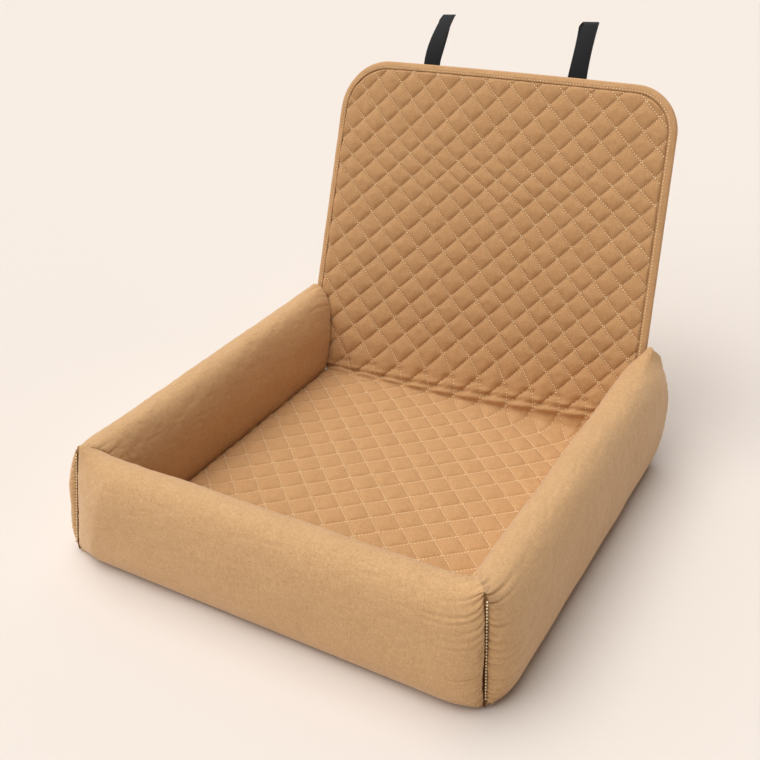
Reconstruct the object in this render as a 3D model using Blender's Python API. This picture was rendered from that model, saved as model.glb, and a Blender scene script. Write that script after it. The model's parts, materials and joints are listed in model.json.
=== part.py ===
"""Pet car seat bed: a quilted seat pad inside three stuffed bolsters, with a quilted back panel that
leans against a vehicle seat and two strap loops for its headrest.

All sizes are in metres. +X is the bed's left-to-right direction, +Y runs to the back, +Z is up, and the
origin is the centre of the base's underside. The back panel is modelled lying flat, as x, distance up
the panel, and height in front of its stitched-down face, and is then tilted up about its crease.
"""

import math

import bmesh
import bpy
import numpy as np

# Base
BASE_WIDTH = 0.580
BASE_DEPTH = 0.500
SEAT_HEIGHT = 0.028
FIT_GAP = 0.0003

# Bolsters
BOLSTER_THICKNESS = 0.070
BOLSTER_HEIGHT = 0.140
BOLSTER_WIDEST_HEIGHT = 0.060
BOLSTER_TOP_FULLNESS = 2.3
BOLSTER_FOOT_FULLNESS = 3.0
BOLSTER_FOOT_PRESS = 0.0015
BOLSTER_SLOT_ANGLE = math.radians(12)
COVER_THICKNESS = 0.0015
FILL_CLEARANCE = 0.0009
FILL_FOOT_HEIGHT = 0.005
SEAM_DRAW = 0.012
SEAM_DRAW_REACH = 0.008
END_CROWN = 0.012
CORNER_ROUNDING = 0.048
CORNER_DRAW_WIDTH = 0.40
CORNER_FULLNESS = 1.7
REAR_ROUNDING = 0.040
REAR_DRAW_WIDTH = 0.30
REAR_DRAW_HEIGHT = 0.04

# Zips under the bolsters
ZIP_SLOT_WIDTH = 0.010
FRONT_ZIP_LENGTH = 0.360
SIDE_ZIP_LENGTH = 0.300
ZIP_TAPE_WIDTH = 0.022
ZIP_TAPE_THICKNESS = 0.0006
ZIP_COIL_WIDTH = 0.0050
ZIP_COIL_HEIGHT = 0.0016
ZIP_SLIT_WIDTH = 0.0012
ZIP_END_STOP = 0.004
SLIDER_LENGTH = 0.012
SLIDER_WIDTH = 0.0086
SLIDER_PLATE = 0.0007
SLIDER_FLANGE = 0.0008
SLIDER_POST_WIDTH = 0.0006
SLIDER_POST_LENGTH = 0.003

# Seat pad
BASE_SHEET_THICKNESS = 0.0015
SEAT_QUILT_THICKNESS = 0.007
SEAT_CROWN = 0.002
SEAT_PUFF = 0.0028
SEAT_STITCH_SINK = 0.0011

# Diamond quilting
QUILT_DIAGONAL = 0.0394
QUILT_OFFSET_X = 0.0085
QUILT_CREASE_OFFSET = 0.0026

# Back panel
BACK_LENGTH = 0.4535
BACK_WIDTH_LOW = 0.517
BACK_WIDTH_TOP = 0.483
BACK_CORNER_RADIUS = 0.078
BACK_LEAN = math.radians(17.8)
BACK_FOLD_HEIGHT = 0.151
BACK_QUILT_THICKNESS = 0.004
BACK_PUFF = 0.0035
BACK_STITCH_SINK = 0.0006
QUILT_FLANGE = 0.0018
BOARD_THICKNESS = 0.003
LINING_THICKNESS = 0.001
BINDING_WIDTH = 0.012
BINDING_TAPE = 0.0008
BINDING_BEND = 0.0014
FOLD_AXIS_PROUD = 0.001

# Headrest straps
STRAP_WIDTH = 0.025
STRAP_THICKNESS = 0.0016
STRAP_SPACING = 0.206
STRAP_RISE = 0.070
LEFT_STRAP_LEAN = 0.024
RIGHT_STRAP_LEAN = 0.012
STRAP_LOOP_GAP = 0.011
STRAP_TAB_LENGTH = 0.040
STRAP_TAIL_LENGTH = 0.125
PATCH_LENGTH = 0.050
PATCH_THICKNESS = 0.0012

# Mesh fineness
COVER_RING_POINTS = 34
FILL_RING_POINTS = 20
RING_STEPS = (0.0, 0.005, 0.012, 0.021, 0.033, 0.048)
RINGS_OVER_ZIP = 5
CORNER_STEPS = 8
STRAP_STEPS = 10
STRAP_TURN_STEPS = 8

# Derived places
FRONT_Y = -BASE_DEPTH / 2
CREASE_Y = BASE_DEPTH / 2
BACK_TAPER = math.atan((BACK_WIDTH_LOW - BACK_WIDTH_TOP) / 2 / BACK_LENGTH)
BACK_FOLD = (BACK_FOLD_HEIGHT - SEAT_HEIGHT) / math.cos(BACK_LEAN)
FOLD_AXIS_FRONT = BACK_PUFF + FOLD_AXIS_PROUD
QUILT_BACK = -BACK_QUILT_THICKNESS
BOARD_FRONT = QUILT_BACK - FIT_GAP
LINING_FRONT = BOARD_FRONT - BOARD_THICKNESS - FIT_GAP
LINING_BACK = LINING_FRONT - LINING_THICKNESS
BINDING_BACK = LINING_BACK - FIT_GAP - BINDING_TAPE
BINDING_FRONT = QUILT_BACK + QUILT_FLANGE + FIT_GAP + BINDING_TAPE
TAB_FRONT = BINDING_BACK - FIT_GAP
TAB_BACK = TAB_FRONT - STRAP_THICKNESS
LAYER_INSET = BINDING_TAPE + FIT_GAP
ZIP_TAPE_BOTTOM = COVER_THICKNESS + FIT_GAP
ZIP_TAPE_TOP = ZIP_TAPE_BOTTOM + ZIP_TAPE_THICKNESS
AXIS_MARK_SIZE = STRAP_WIDTH


def clear_scene():
    """Removes every object that the file opened with."""
    for old in list(bpy.data.objects):
        bpy.data.objects.remove(old, do_unlink=True)


def make_material(name, colour, roughness, metallic=0.0):
    """A Principled BSDF material of one colour."""
    made = bpy.data.materials.new(name)
    made.use_nodes = True
    shader = made.node_tree.nodes["Principled BSDF"]
    shader.inputs["Base Color"].default_value = (*colour, 1.0)
    shader.inputs["Roughness"].default_value = roughness
    shader.inputs["Metallic"].default_value = metallic
    made.diffuse_color = (*colour, 1.0)
    return made


def make_object(name, vertices, faces, material, parent=None, location=(0, 0, 0)):
    """A named mesh object with outward faces, placed under its parent."""
    mesh = bpy.data.meshes.new(name)
    mesh.from_pydata([tuple(map(float, v)) for v in vertices], [], faces)
    work = bmesh.new()
    work.from_mesh(mesh)
    bmesh.ops.recalc_face_normals(work, faces=work.faces)
    work.to_mesh(mesh)
    work.free()
    mesh.materials.append(material)
    made = bpy.data.objects.new(name, mesh)
    bpy.context.collection.objects.link(made)
    made.parent = parent
    made.location = location
    return made


def make_empty(name, location, parent=None, rotation=(0, 0, 0)):
    """An empty that carries the pieces of one moving body on its joint's axis."""
    made = bpy.data.objects.new(name, None)
    bpy.context.collection.objects.link(made)
    made.empty_display_size = AXIS_MARK_SIZE
    made.parent = parent
    made.location = location
    made.rotation_euler = rotation
    return made


def shade_round(target, angle_deg=35):
    """Smooth shading with the crisp edges kept."""
    target.data.shade_smooth()
    target.data.set_sharp_from_angle(angle=math.radians(angle_deg))


def combine(target, tool, operation):
    """Adds an exact boolean of target and tool, and hides the tool."""
    step = target.modifiers.new(operation.lower(), "BOOLEAN")
    step.operation = operation
    step.solver = "EXACT"
    step.object = tool
    tool.hide_render = True
    tool.display_type = "WIRE"


def tube_faces(stations, ring, skip=()):
    """Quads that join rings of points along a tube; skip holds (station, edge) places left open."""
    faces = []
    for i in range(stations - 1):
        for j in range(ring):
            if (i, j) in skip:
                continue
            k = (j + 1) % ring
            faces.append((i * ring + j, i * ring + k, (i + 1) * ring + k, (i + 1) * ring + j))
    return faces


def closed_tube(name, rings, material, parent=None, location=(0, 0, 0), skip=()):
    """A tube through rings of points, closed by one flat face at each end."""
    stations, ring = rings.shape[:2]
    faces = tube_faces(stations, ring, skip)
    faces.append(tuple(range(ring)))
    faces.append(tuple(range((stations - 1) * ring, stations * ring)))
    return make_object(name, rings.reshape(-1, 3), faces, material, parent, location)


def prism(name, outline, low, high, material, parent=None, location=(0, 0, 0)):
    """A flat outline of (x, y) points given thickness from low to high."""
    rings = np.array([[(x, y, z) for x, y in outline] for z in (low, high)])
    return closed_tube(name, rings, material, parent, location)


def block_outline(x_low, x_high, y_low, y_high):
    """The four corners of a rectangle."""
    return [(x_low, y_low), (x_high, y_low), (x_high, y_high), (x_low, y_high)]


def bolster_section(inset, foot, count):
    """One turn of (depth, height) points round a bolster, from one lip of its zip slot to the other.

    The upper part is a superellipse of exponent BOLSTER_TOP_FULLNESS about the widest height and the
    lower part one of BOLSTER_FOOT_FULLNESS, pressed flat at the foot. Depth is measured inwards from
    the bolster's outer side.
    """
    half = BOLSTER_THICKNESS / 2
    reach = half - inset
    quarter = math.pi / 2
    angles = np.linspace(BOLSTER_SLOT_ANGLE - quarter, 3 * quarter - BOLSTER_SLOT_ANGLE, count - 2)
    across = np.cos(angles)
    rise = np.sin(angles)
    power = np.where(rise > 0, 2 / BOLSTER_TOP_FULLNESS, 2 / BOLSTER_FOOT_FULLNESS)
    tall = np.where(
        rise > 0,
        BOLSTER_HEIGHT - BOLSTER_WIDEST_HEIGHT - inset,
        BOLSTER_WIDEST_HEIGHT + BOLSTER_FOOT_PRESS - inset,
    )
    depth = half + reach * np.sign(across) * np.abs(across) ** power
    height = BOLSTER_WIDEST_HEIGHT + tall * np.sign(rise) * np.abs(rise) ** power
    height = np.maximum(height, foot)
    lip = ZIP_SLOT_WIDTH / 2
    depth = np.concatenate([[half + lip], depth, [half - lip]])
    height = np.concatenate([[foot], height, [foot]])
    return depth, height


def bolster_inner_face(height):
    """Depth of a bolster's inner face at a height below its widest place."""
    drop = (BOLSTER_WIDEST_HEIGHT - height) / (BOLSTER_WIDEST_HEIGHT + BOLSTER_FOOT_PRESS)
    fullness = BOLSTER_FOOT_FULLNESS
    return BOLSTER_THICKNESS / 2 * (1 + (1 - drop**fullness) ** (1 / fullness))


def panel_front_y(height):
    """Y of the quilting's most forward places on the leaning panel, at a height above the base."""
    slope = math.tan(BACK_LEAN) * (height - SEAT_HEIGHT)
    return CREASE_Y + slope - (BACK_PUFF + FIT_GAP) / math.cos(BACK_LEAN)


def bolster_cuts(kind, depth, height, clearance):
    """Where the points of a bolster's section meet the cuts at its start and its finish."""
    if kind == "front":
        start = -BASE_WIDTH / 2 + depth + clearance
        return start, -start
    return FRONT_Y + depth + clearance, panel_front_y(height) - clearance


def bolster_rings(kind, inset, foot, zip_length, count):
    """Rings of (along, depth, height) points along a bolster, and which of them the zip slot opens.

    kind is front, mitred at both ends, or side, mitred at the front and cut along the leaning panel at
    the rear. The rings stand square to the bolster over the zip and turn evenly to the cuts beyond it.
    Towards a mitre the section shrinks by SEAM_DRAW and its outer side closes in along a power curve;
    towards a side bolster's rear end its outer side and its top close in on a quarter ellipse.
    """
    depth, height = bolster_section(inset, foot, count)
    clearance = FIT_GAP / 2 + inset * math.sqrt(2)
    middle = 0.0 if kind == "front" else side_zip_middle()
    start, finish = bolster_cuts(kind, depth, height, clearance)
    first, last = float(np.mean(start)), float(np.mean(finish))
    slot_start, slot_end = middle - zip_length / 2, middle + zip_length / 2
    places = [first + step for step in RING_STEPS] + [last - step for step in RING_STEPS]
    places += list(np.linspace(slot_start, slot_end, RINGS_OVER_ZIP))
    places.sort()
    rings = []
    for place in places:
        from_start = place - first
        from_finish = last - place
        draw = SEAM_DRAW * math.exp(-from_start / SEAM_DRAW_REACH)
        draw += END_CROWN * abs((from_start - from_finish) / (last - first)) ** 6
        if kind == "front":
            draw += SEAM_DRAW * math.exp(-from_finish / SEAM_DRAW_REACH)
        d = BOLSTER_THICKNESS / 2 + (depth - BOLSTER_THICKNESS / 2) * (1 - draw)
        h = foot + (height - foot) * (1 - draw)
        inner = BOLSTER_THICKNESS - inset
        from_mitre = min(from_start, from_finish) if kind == "front" else from_start
        corner = max(0.0, 1 - from_mitre / CORNER_ROUNDING) ** CORNER_FULLNESS
        d = inner - (inner - d) * (1 - CORNER_DRAW_WIDTH * corner)
        if kind == "side":
            q = max(0.0, 1 - from_finish / REAR_ROUNDING)
            close = 1 - math.sqrt(1 - q * q)
            d = inner - (inner - d) * (1 - REAR_DRAW_WIDTH * close)
            h = foot + (h - foot) * (1 - REAR_DRAW_HEIGHT * close)
        start, finish = bolster_cuts(kind, d, h, clearance)
        turn_start = max(0.0, (slot_start - place) / (slot_start - first))
        turn_end = max(0.0, (place - slot_end) / (last - slot_end))
        along = place + (start - first) * turn_start + (finish - last) * turn_end
        rings.append(np.stack([along, d, h], axis=1))
    over_zip = [i for i, s in enumerate(places) if slot_start - FIT_GAP < s < slot_end - FIT_GAP]
    return np.array(rings), over_zip


def side_zip_middle():
    """Middle of a side bolster's underside, from its mitre to its rear end."""
    mitre = FRONT_Y + BOLSTER_THICKNESS / 2
    return (mitre + panel_front_y(0.0)) / 2


def place_bolster(rings, side):
    """Turns (along, depth, height) rings into the front, left or right bolster's own place."""
    along, depth, height = rings[..., 0], rings[..., 1], rings[..., 2]
    if side == "front":
        return np.stack([along, FRONT_Y + depth, height], axis=-1)
    outer = BASE_WIDTH / 2 - depth
    sign = -1 if side == "left" else 1
    return np.stack([sign * outer, along, height], axis=-1)


def build_bolster(side, looks):
    """A cover with a zip slot in its underside, and the stuffing inside it."""
    kind = "front" if side == "front" else "side"
    length = FRONT_ZIP_LENGTH if side == "front" else SIDE_ZIP_LENGTH
    rings, over_zip = bolster_rings(kind, 0.0, 0.0, length, COVER_RING_POINTS)
    slot_edge = COVER_RING_POINTS - 1
    cover = closed_tube(
        side + "_bolster_cover",
        place_bolster(rings, side),
        looks["cover"],
        skip={(i, slot_edge) for i in over_zip},
    )
    wall = cover.modifiers.new("fabric wall", "SOLIDIFY")
    wall.thickness = COVER_THICKNESS
    wall.offset = -1
    wall.use_even_offset = True
    shade_round(cover)
    inset = COVER_THICKNESS + FILL_CLEARANCE
    rings, _ = bolster_rings(kind, inset, FILL_FOOT_HEIGHT, length, FILL_RING_POINTS)
    fill = closed_tube(side + "_bolster_fill", place_bolster(rings, side), looks["fill"])
    shade_round(fill)


def extrude_along_x(name, profile, half_length, material):
    """A (y, z) profile carried along X, centred on the origin."""
    rings = np.array([[(x, y, z) for y, z in profile] for x in (-half_length, half_length)])
    return closed_tube(name, rings, material)


def build_zip(side, looks):
    """A closed coil zip in the bolster's underside, and the slider that stands at its end.

    The two rows of the coil lie one slit apart, which leaves the way for the slider's post.
    """
    length = FRONT_ZIP_LENGTH if side == "front" else SIDE_ZIP_LENGTH
    half_tape = ZIP_TAPE_WIDTH / 2
    half_coil = ZIP_COIL_WIDTH / 2
    middle = (ZIP_TAPE_BOTTOM + ZIP_TAPE_TOP) / 2
    coil_low = middle - ZIP_COIL_HEIGHT / 2
    coil_high = middle + ZIP_COIL_HEIGHT / 2
    half_profile = [
        (half_coil, coil_low),
        (half_coil, ZIP_TAPE_BOTTOM),
        (half_tape, ZIP_TAPE_BOTTOM),
        (half_tape, ZIP_TAPE_TOP),
        (half_coil, ZIP_TAPE_TOP),
        (half_coil, coil_high),
    ]
    profile = half_profile + [(-y, z) for y, z in reversed(half_profile)]
    chain = extrude_along_x(side + "_zip_chain", profile, length / 2 - FIT_GAP, looks["zip"])
    half_slit = length / 2 - ZIP_END_STOP
    slit_outline = block_outline(-half_slit, half_slit, -ZIP_SLIT_WIDTH / 2, ZIP_SLIT_WIDTH / 2)
    slit = prism(side + "_zip_slit_cutter", slit_outline, 0.0, FILL_FOOT_HEIGHT, looks["zip"], chain)
    combine(chain, slit, "DIFFERENCE")

    flange_low = ZIP_TAPE_BOTTOM - FIT_GAP
    flange_high = ZIP_TAPE_TOP + FIT_GAP
    plate_low = coil_low - FIT_GAP
    plate_high = coil_high + FIT_GAP
    outer = SLIDER_WIDTH / 2
    inner = outer - SLIDER_FLANGE
    low_plate = [
        (-outer, plate_low - SLIDER_PLATE),
        (outer, plate_low - SLIDER_PLATE),
        (outer, flange_low),
        (inner, flange_low),
        (inner, plate_low),
        (-inner, plate_low),
        (-inner, flange_low),
        (-outer, flange_low),
    ]
    high_plate = [
        (-outer, flange_high),
        (-inner, flange_high),
        (-inner, plate_high),
        (inner, plate_high),
        (inner, flange_high),
        (outer, flange_high),
        (outer, plate_high + SLIDER_PLATE),
        (-outer, plate_high + SLIDER_PLATE),
    ]
    slider = extrude_along_x(side + "_zip_slider", low_plate, SLIDER_LENGTH / 2, looks["slider"])
    upper = extrude_along_x(side + "_slider_top", high_plate, SLIDER_LENGTH / 2, looks["slider"])
    nose = SLIDER_LENGTH / 2 - SLIDER_POST_LENGTH
    post_outline = [
        (nose, 0.0),
        (nose + SLIDER_POST_LENGTH / 2, -SLIDER_POST_WIDTH / 2),
        (nose + SLIDER_POST_LENGTH * 0.8, 0.0),
        (nose + SLIDER_POST_LENGTH / 2, SLIDER_POST_WIDTH / 2),
    ]
    post_low = plate_low - SLIDER_PLATE / 2
    post_high = plate_high + SLIDER_PLATE / 2
    post = prism(side + "_slider_post", post_outline, post_low, post_high, looks["slider"])
    for tool in (upper, post):
        tool.parent = slider
        combine(slider, tool, "UNION")
    end = half_slit - SLIDER_LENGTH / 2 - FIT_GAP
    if side == "front":
        chain.location = (0, FRONT_Y + BOLSTER_THICKNESS / 2, 0)
        slider.location = (end, chain.location.y, 0)
        return
    sign = -1 if side == "left" else 1
    x = sign * (BASE_WIDTH / 2 - BOLSTER_THICKNESS / 2)
    chain.location = (x, side_zip_middle(), 0)
    slider.location = (x, side_zip_middle() + end, 0)
    for turned in (chain, slider):
        turned.rotation_euler = (0, 0, math.pi / 2)


def quilt_surface(name, x_half, y_low, y_high, bottom, height_at, crossing_y, material, parent,
                  location):
    """A slab whose top rises to a low peak inside every stitched diamond.

    Stitch crossings and diamond centres alternate on a square grid of half a diagonal, and each grid
    square is split along the stitch line that joins its two crossings.
    """
    step = QUILT_DIAGONAL / 2
    first_i = math.floor((-x_half - QUILT_OFFSET_X) / step) - 1
    last_i = math.ceil((x_half - QUILT_OFFSET_X) / step) + 1
    first_j = math.floor((y_low - crossing_y) / step) - 1
    last_j = math.ceil((y_high - crossing_y) / step) + 1
    columns = last_i - first_i + 1
    rows = last_j - first_j + 1
    vertices = []
    for j in range(first_j, last_j + 1):
        for i in range(first_i, last_i + 1):
            x = QUILT_OFFSET_X + i * step
            y = crossing_y + j * step
            vertices.append((x, y, height_at(x, y, (i + j) % 2 != 0)))
    faces = []
    for r in range(rows - 1):
        for c in range(columns - 1):
            a = r * columns + c
            b, d, e = a + 1, a + columns + 1, a + columns
            if (first_i + c + first_j + r) % 2 == 0:
                faces += [(a, b, d), (a, d, e)]
            else:
                faces += [(a, b, e), (b, d, e)]
    rim = list(range(columns))
    rim += [r * columns + columns - 1 for r in range(1, rows)]
    rim += [(rows - 1) * columns + c for c in range(columns - 2, -1, -1)]
    rim += [r * columns for r in range(rows - 2, 0, -1)]
    base = len(vertices)
    vertices += [(vertices[v][0], vertices[v][1], bottom) for v in rim]
    count = len(rim)
    for k in range(count):
        n = (k + 1) % count
        faces.append((rim[k], base + k, base + n, rim[n]))
    faces.append(tuple(range(base, base + count)))
    return make_object(name, vertices, faces, material, parent, location)


def build_seat(looks):
    """Base sheet turned up at the rear edge, foam, and the quilted top with its low crown."""
    top_edge = SEAT_HEIGHT
    foam_top = SEAT_HEIGHT - SEAT_QUILT_THICKNESS - FIT_GAP
    side = BASE_WIDTH / 2 - bolster_inner_face(top_edge) - FIT_GAP
    front = FRONT_Y + bolster_inner_face(top_edge) + FIT_GAP
    rear = CREASE_Y - FIT_GAP
    sheet = [
        (front, 0.0),
        (rear, 0.0),
        (rear, foam_top),
        (rear - BASE_SHEET_THICKNESS, foam_top),
        (rear - BASE_SHEET_THICKNESS, BASE_SHEET_THICKNESS),
        (front, BASE_SHEET_THICKNESS),
    ]
    extrude_along_x("seat_base_sheet", sheet, side, looks["base"])
    foam_front = front + FIT_GAP
    foam_rear = rear - BASE_SHEET_THICKNESS - FIT_GAP
    foam_low = BASE_SHEET_THICKNESS + FIT_GAP
    foam_outline = block_outline(-side, side, foam_front, foam_rear)
    prism("seat_foam", foam_outline, foam_low, foam_top, looks["foam"])

    middle = (front + rear) / 2
    half_depth = (rear - front) / 2

    def height_at(x, y, peak):
        across = min(1.0, abs(x) / side)
        along = min(1.0, abs(y - middle) / half_depth)
        crown = (1 - across**2) * (1 - along**2)
        edge = (1 - across**8) * (1 - along**8)
        puff = SEAT_PUFF * edge if peak else 0.0
        return top_edge - SEAT_STITCH_SINK + SEAT_CROWN * crown + puff

    bottom = foam_top + FIT_GAP
    quilt = quilt_surface("seat_quilt", side, front, rear, bottom, height_at,
                          CREASE_Y - QUILT_CREASE_OFFSET, looks["quilt"], None, (0, 0, 0))
    outline = block_outline(-side, side, front, rear)
    cutter = prism("seat_quilt_cutter", outline, -SEAT_HEIGHT, 2 * SEAT_HEIGHT, looks["quilt"])
    combine(quilt, cutter, "INTERSECT")


def side_x(distance, inset):
    """Half width of the back panel at a distance up it, drawn in by inset square to its edge."""
    return BACK_WIDTH_LOW / 2 - distance * math.tan(BACK_TAPER) - inset / math.cos(BACK_TAPER)


def panel_edge(inset, start, finish=None):
    """Right edge of the back panel from start upwards, as (x, distance) points.

    With no finish it goes on round the top corner, an arc tangent to the side and the top, to the
    panel's middle line.
    """
    if finish is not None:
        return [(side_x(start, inset), start), (side_x(finish, inset), finish)]
    centre_y = BACK_LENGTH - BACK_CORNER_RADIUS
    centre_x = side_x(centre_y, BACK_CORNER_RADIUS)
    radius = BACK_CORNER_RADIUS - inset
    points = [(side_x(start, inset), start)]
    for angle in np.linspace(BACK_TAPER, math.pi / 2, CORNER_STEPS + 1):
        points.append((centre_x + radius * math.cos(angle), centre_y + radius * math.sin(angle)))
    return points


def panel_outline(inset, start, finish=None):
    """The whole outline of the panel, or of its lower part, from its right foot round to its left."""
    right = panel_edge(inset, start, finish)
    return right + [(-x, y) for x, y in reversed(right)]


def build_quilt(name, start, finish, looks, parent, location):
    """Padded quilting on a thin sewing flange that the binding holds."""
    x_half = BACK_WIDTH_LOW / 2
    y_high = BACK_LENGTH if finish is None else finish

    def height_at(x, y, peak):
        return BACK_PUFF if peak else -BACK_STITCH_SINK

    flange = prism(name, panel_outline(LAYER_INSET, start, finish), QUILT_BACK,
                   QUILT_BACK + QUILT_FLANGE, looks["quilt"], parent, location)
    padding = quilt_surface(name + "_padding", x_half, start, y_high,
                            QUILT_BACK + QUILT_FLANGE / 2, height_at, -QUILT_CREASE_OFFSET,
                            looks["quilt"], flange, (0, 0, 0))
    inset = BINDING_WIDTH + FIT_GAP
    low = start + FIT_GAP if finish is None else start + BINDING_TAPE
    outline = panel_outline(inset, low, None if finish is None else finish - FIT_GAP)
    trim = prism(name + "_trim", outline, -BACK_LENGTH, BACK_LENGTH, looks["quilt"], flange)
    combine(padding, trim, "INTERSECT")
    combine(flange, padding, "UNION")


def build_binding(name, sides, start, finish, looks, parent, location):
    """A folded tape round the panel's edge: two flat legs joined by a fold with rounded corners.

    sides is both for one tape over the top, or left or right for a straight one.
    """
    middle = (BINDING_FRONT + BINDING_BACK) / 2
    half = (BINDING_FRONT - BINDING_BACK) / 2
    bend = BINDING_BEND
    turn = [(bend * (1 - math.sin(a)), half - bend * (1 - math.cos(a))) for a in
            (0, math.pi / 4, math.pi / 2)]
    front_turn = [(inset, middle + rise) for inset, rise in turn]
    back_turn = [(inset, middle - rise) for inset, rise in reversed(turn)]
    profile = [(BINDING_WIDTH, BINDING_FRONT), *front_turn, *back_turn]
    profile.append((BINDING_WIDTH, BINDING_BACK))
    inner_half = half - BINDING_TAPE
    profile += [
        (BINDING_WIDTH, middle - inner_half),
        (BINDING_TAPE, middle - inner_half),
        (BINDING_TAPE, middle + inner_half),
        (BINDING_WIDTH, middle + inner_half),
    ]
    columns = []
    for inset, height in profile:
        edge = panel_edge(inset, start, finish)
        if sides == "both":
            edge = edge + [(-x, y) for x, y in reversed(edge)]
        sign = -1 if sides == "left" else 1
        columns.append([(sign * x, y, height) for x, y in edge])
    rings = np.array(columns).transpose(1, 0, 2)
    tape = closed_tube(name, rings, looks["binding"], parent, location)
    shade_round(tape)


def build_back(looks):
    """The panel's two boarded parts, which bend at the crease and at the height of the bolsters."""
    tilt = (math.pi / 2 - BACK_LEAN, 0, 0)
    recline = make_empty("back_recline_axis", (0, CREASE_Y, SEAT_HEIGHT), rotation=tilt)
    fold_at = (0, BACK_FOLD, FOLD_AXIS_FRONT)
    fold = make_empty("back_fold_axis", fold_at, recline)
    upper_place = tuple(-v for v in fold_at)
    parts = [
        ("lower", FIT_GAP, BACK_FOLD - FIT_GAP, recline, (0, 0, 0)),
        ("upper", BACK_FOLD + FIT_GAP, None, fold, upper_place),
    ]
    for part, start, finish, parent, place in parts:
        build_quilt("back_quilt_" + part, start, finish, looks, parent, place)
        outline = panel_outline(LAYER_INSET, start, finish)
        prism("back_board_" + part, outline, BOARD_FRONT - BOARD_THICKNESS, BOARD_FRONT,
              looks["board"], parent, place)
        prism("back_lining_" + part, outline, LINING_BACK, LINING_FRONT, looks["lining"], parent,
              place)
    for side in ("left", "right"):
        build_binding("back_binding_" + side, side, FIT_GAP, BACK_FOLD - FIT_GAP, looks, recline,
                      (0, 0, 0))
    build_binding("back_binding_upper", "both", BACK_FOLD + FIT_GAP, None, looks, fold, upper_place)
    return fold, fold_at


def strap_route(lean):
    """Middle line of a strap, as (distance above the panel's top edge, distance behind its face), and
    the step of the line at the middle of its turn.

    It starts at the foot of the part sewn to the panel, rises from the top edge on a parabola that ends
    lean behind its foot, goes over in a half turn, and comes down one loop gap behind to lie along the
    panel's back.
    """
    sewn_back = -(TAB_FRONT + TAB_BACK) / 2
    tail_back = -LINING_BACK + 2 * PATCH_THICKNESS + 3 * FIT_GAP + STRAP_THICKNESS / 2
    turn = STRAP_LOOP_GAP / 2
    rise = STRAP_RISE - turn
    t = np.linspace(0, 1, STRAP_STEPS + 1)
    front_up = t * rise
    front_back = sewn_back + lean * t**2
    slope = math.atan2(2 * lean, rise)
    centre_up = rise - turn * math.sin(slope)
    centre_back = sewn_back + lean + turn * math.cos(slope)
    angles = np.linspace(0, math.pi, STRAP_TURN_STEPS + 1)[1:]
    turn_up = centre_up + turn * np.sin(angles + slope)
    turn_back = centre_back - turn * np.cos(angles + slope)
    down = np.linspace(0, 1, 2 * STRAP_STEPS + 1)[1:]
    fall = turn_up[-1] + STRAP_TAIL_LENGTH - PATCH_LENGTH
    rear_up = turn_up[-1] - fall * down
    blend = (1 - down) ** 2
    swell = 4 * STRAP_LOOP_GAP * down * (1 - down) ** 3
    rear_back = tail_back + (turn_back[-1] - tail_back) * blend + swell * (1 - down)
    up = np.concatenate([[-STRAP_TAB_LENGTH], front_up, turn_up, rear_up, [-STRAP_TAIL_LENGTH]])
    back = np.concatenate([[sewn_back], front_back, turn_back, rear_back, [tail_back]])
    return np.stack([up, back], axis=1), len(front_up) + STRAP_TURN_STEPS // 2


def route_directions(route):
    """Unit vectors along a strap's route and towards the inside of its loop."""
    along = np.gradient(route, axis=0)
    along /= np.linalg.norm(along, axis=1, keepdims=True)
    inward = np.stack([-along[:, 1], along[:, 0]], axis=1)
    return along, inward


def webbing(name, route, first, last, x_middle, material, parent, location):
    """A flat strip of webbing along a route, from its first step to its last.

    An end that meets the strap's other half is cut back by half the fit gap.
    """
    along, inward = route_directions(route)
    middle = route.copy()
    if first > 0:
        middle[first] += along[first] * FIT_GAP / 2
    if last < len(route) - 1:
        middle[last] -= along[last] * FIT_GAP / 2
    rings = []
    for k in range(first, last + 1):
        ring = []
        for across, offset in ((-1, -1), (1, -1), (1, 1), (-1, 1)):
            up, back = middle[k] + inward[k] * offset * STRAP_THICKNESS / 2
            ring.append((x_middle + across * STRAP_WIDTH / 2, BACK_LENGTH + up, -back))
        rings.append(ring)
    strip = closed_tube(name, np.array(rings), material, parent, location)
    shade_round(strip)


def build_strap(side, lean, looks, fold, fold_at):
    """A strap sewn to the panel's back, and its tail, which a hook and a loop patch hold down.

    The tail opens about the outer face of the webbing at the top of the loop.
    """
    x = (-1 if side == "left" else 1) * STRAP_SPACING / 2
    upper_place = tuple(-v for v in fold_at)
    half = STRAP_WIDTH / 2
    patch_low = BACK_LENGTH - STRAP_TAIL_LENGTH + PATCH_THICKNESS
    patch = block_outline(x - half, x + half, patch_low, patch_low + PATCH_LENGTH)
    loop_front = LINING_BACK - FIT_GAP
    prism(side + "_loop_patch", patch, loop_front - PATCH_THICKNESS, loop_front, looks["patch"],
          fold, upper_place)
    route, top = strap_route(lean)
    webbing(side + "_strap", route, 0, top, x, looks["strap"], fold, upper_place)

    inward = route_directions(route)[1]
    axis_up, axis_back = route[top] - inward[top] * STRAP_THICKNESS / 2
    axis_at = (x, BACK_LENGTH + axis_up - BACK_FOLD, -axis_back - FOLD_AXIS_FRONT)
    axis = make_empty(side + "_strap_axis", axis_at, fold)
    place = (0, -BACK_LENGTH - axis_up, axis_back)
    webbing(side + "_strap_tail", route, top, len(route) - 1, 0.0, looks["strap"], axis, place)
    hook_front = loop_front - PATCH_THICKNESS - FIT_GAP
    hook = block_outline(-half, half, patch_low, patch_low + PATCH_LENGTH)
    prism(side + "_hook_patch", hook, hook_front - PATCH_THICKNESS, hook_front, looks["patch"], axis,
          place)


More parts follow.
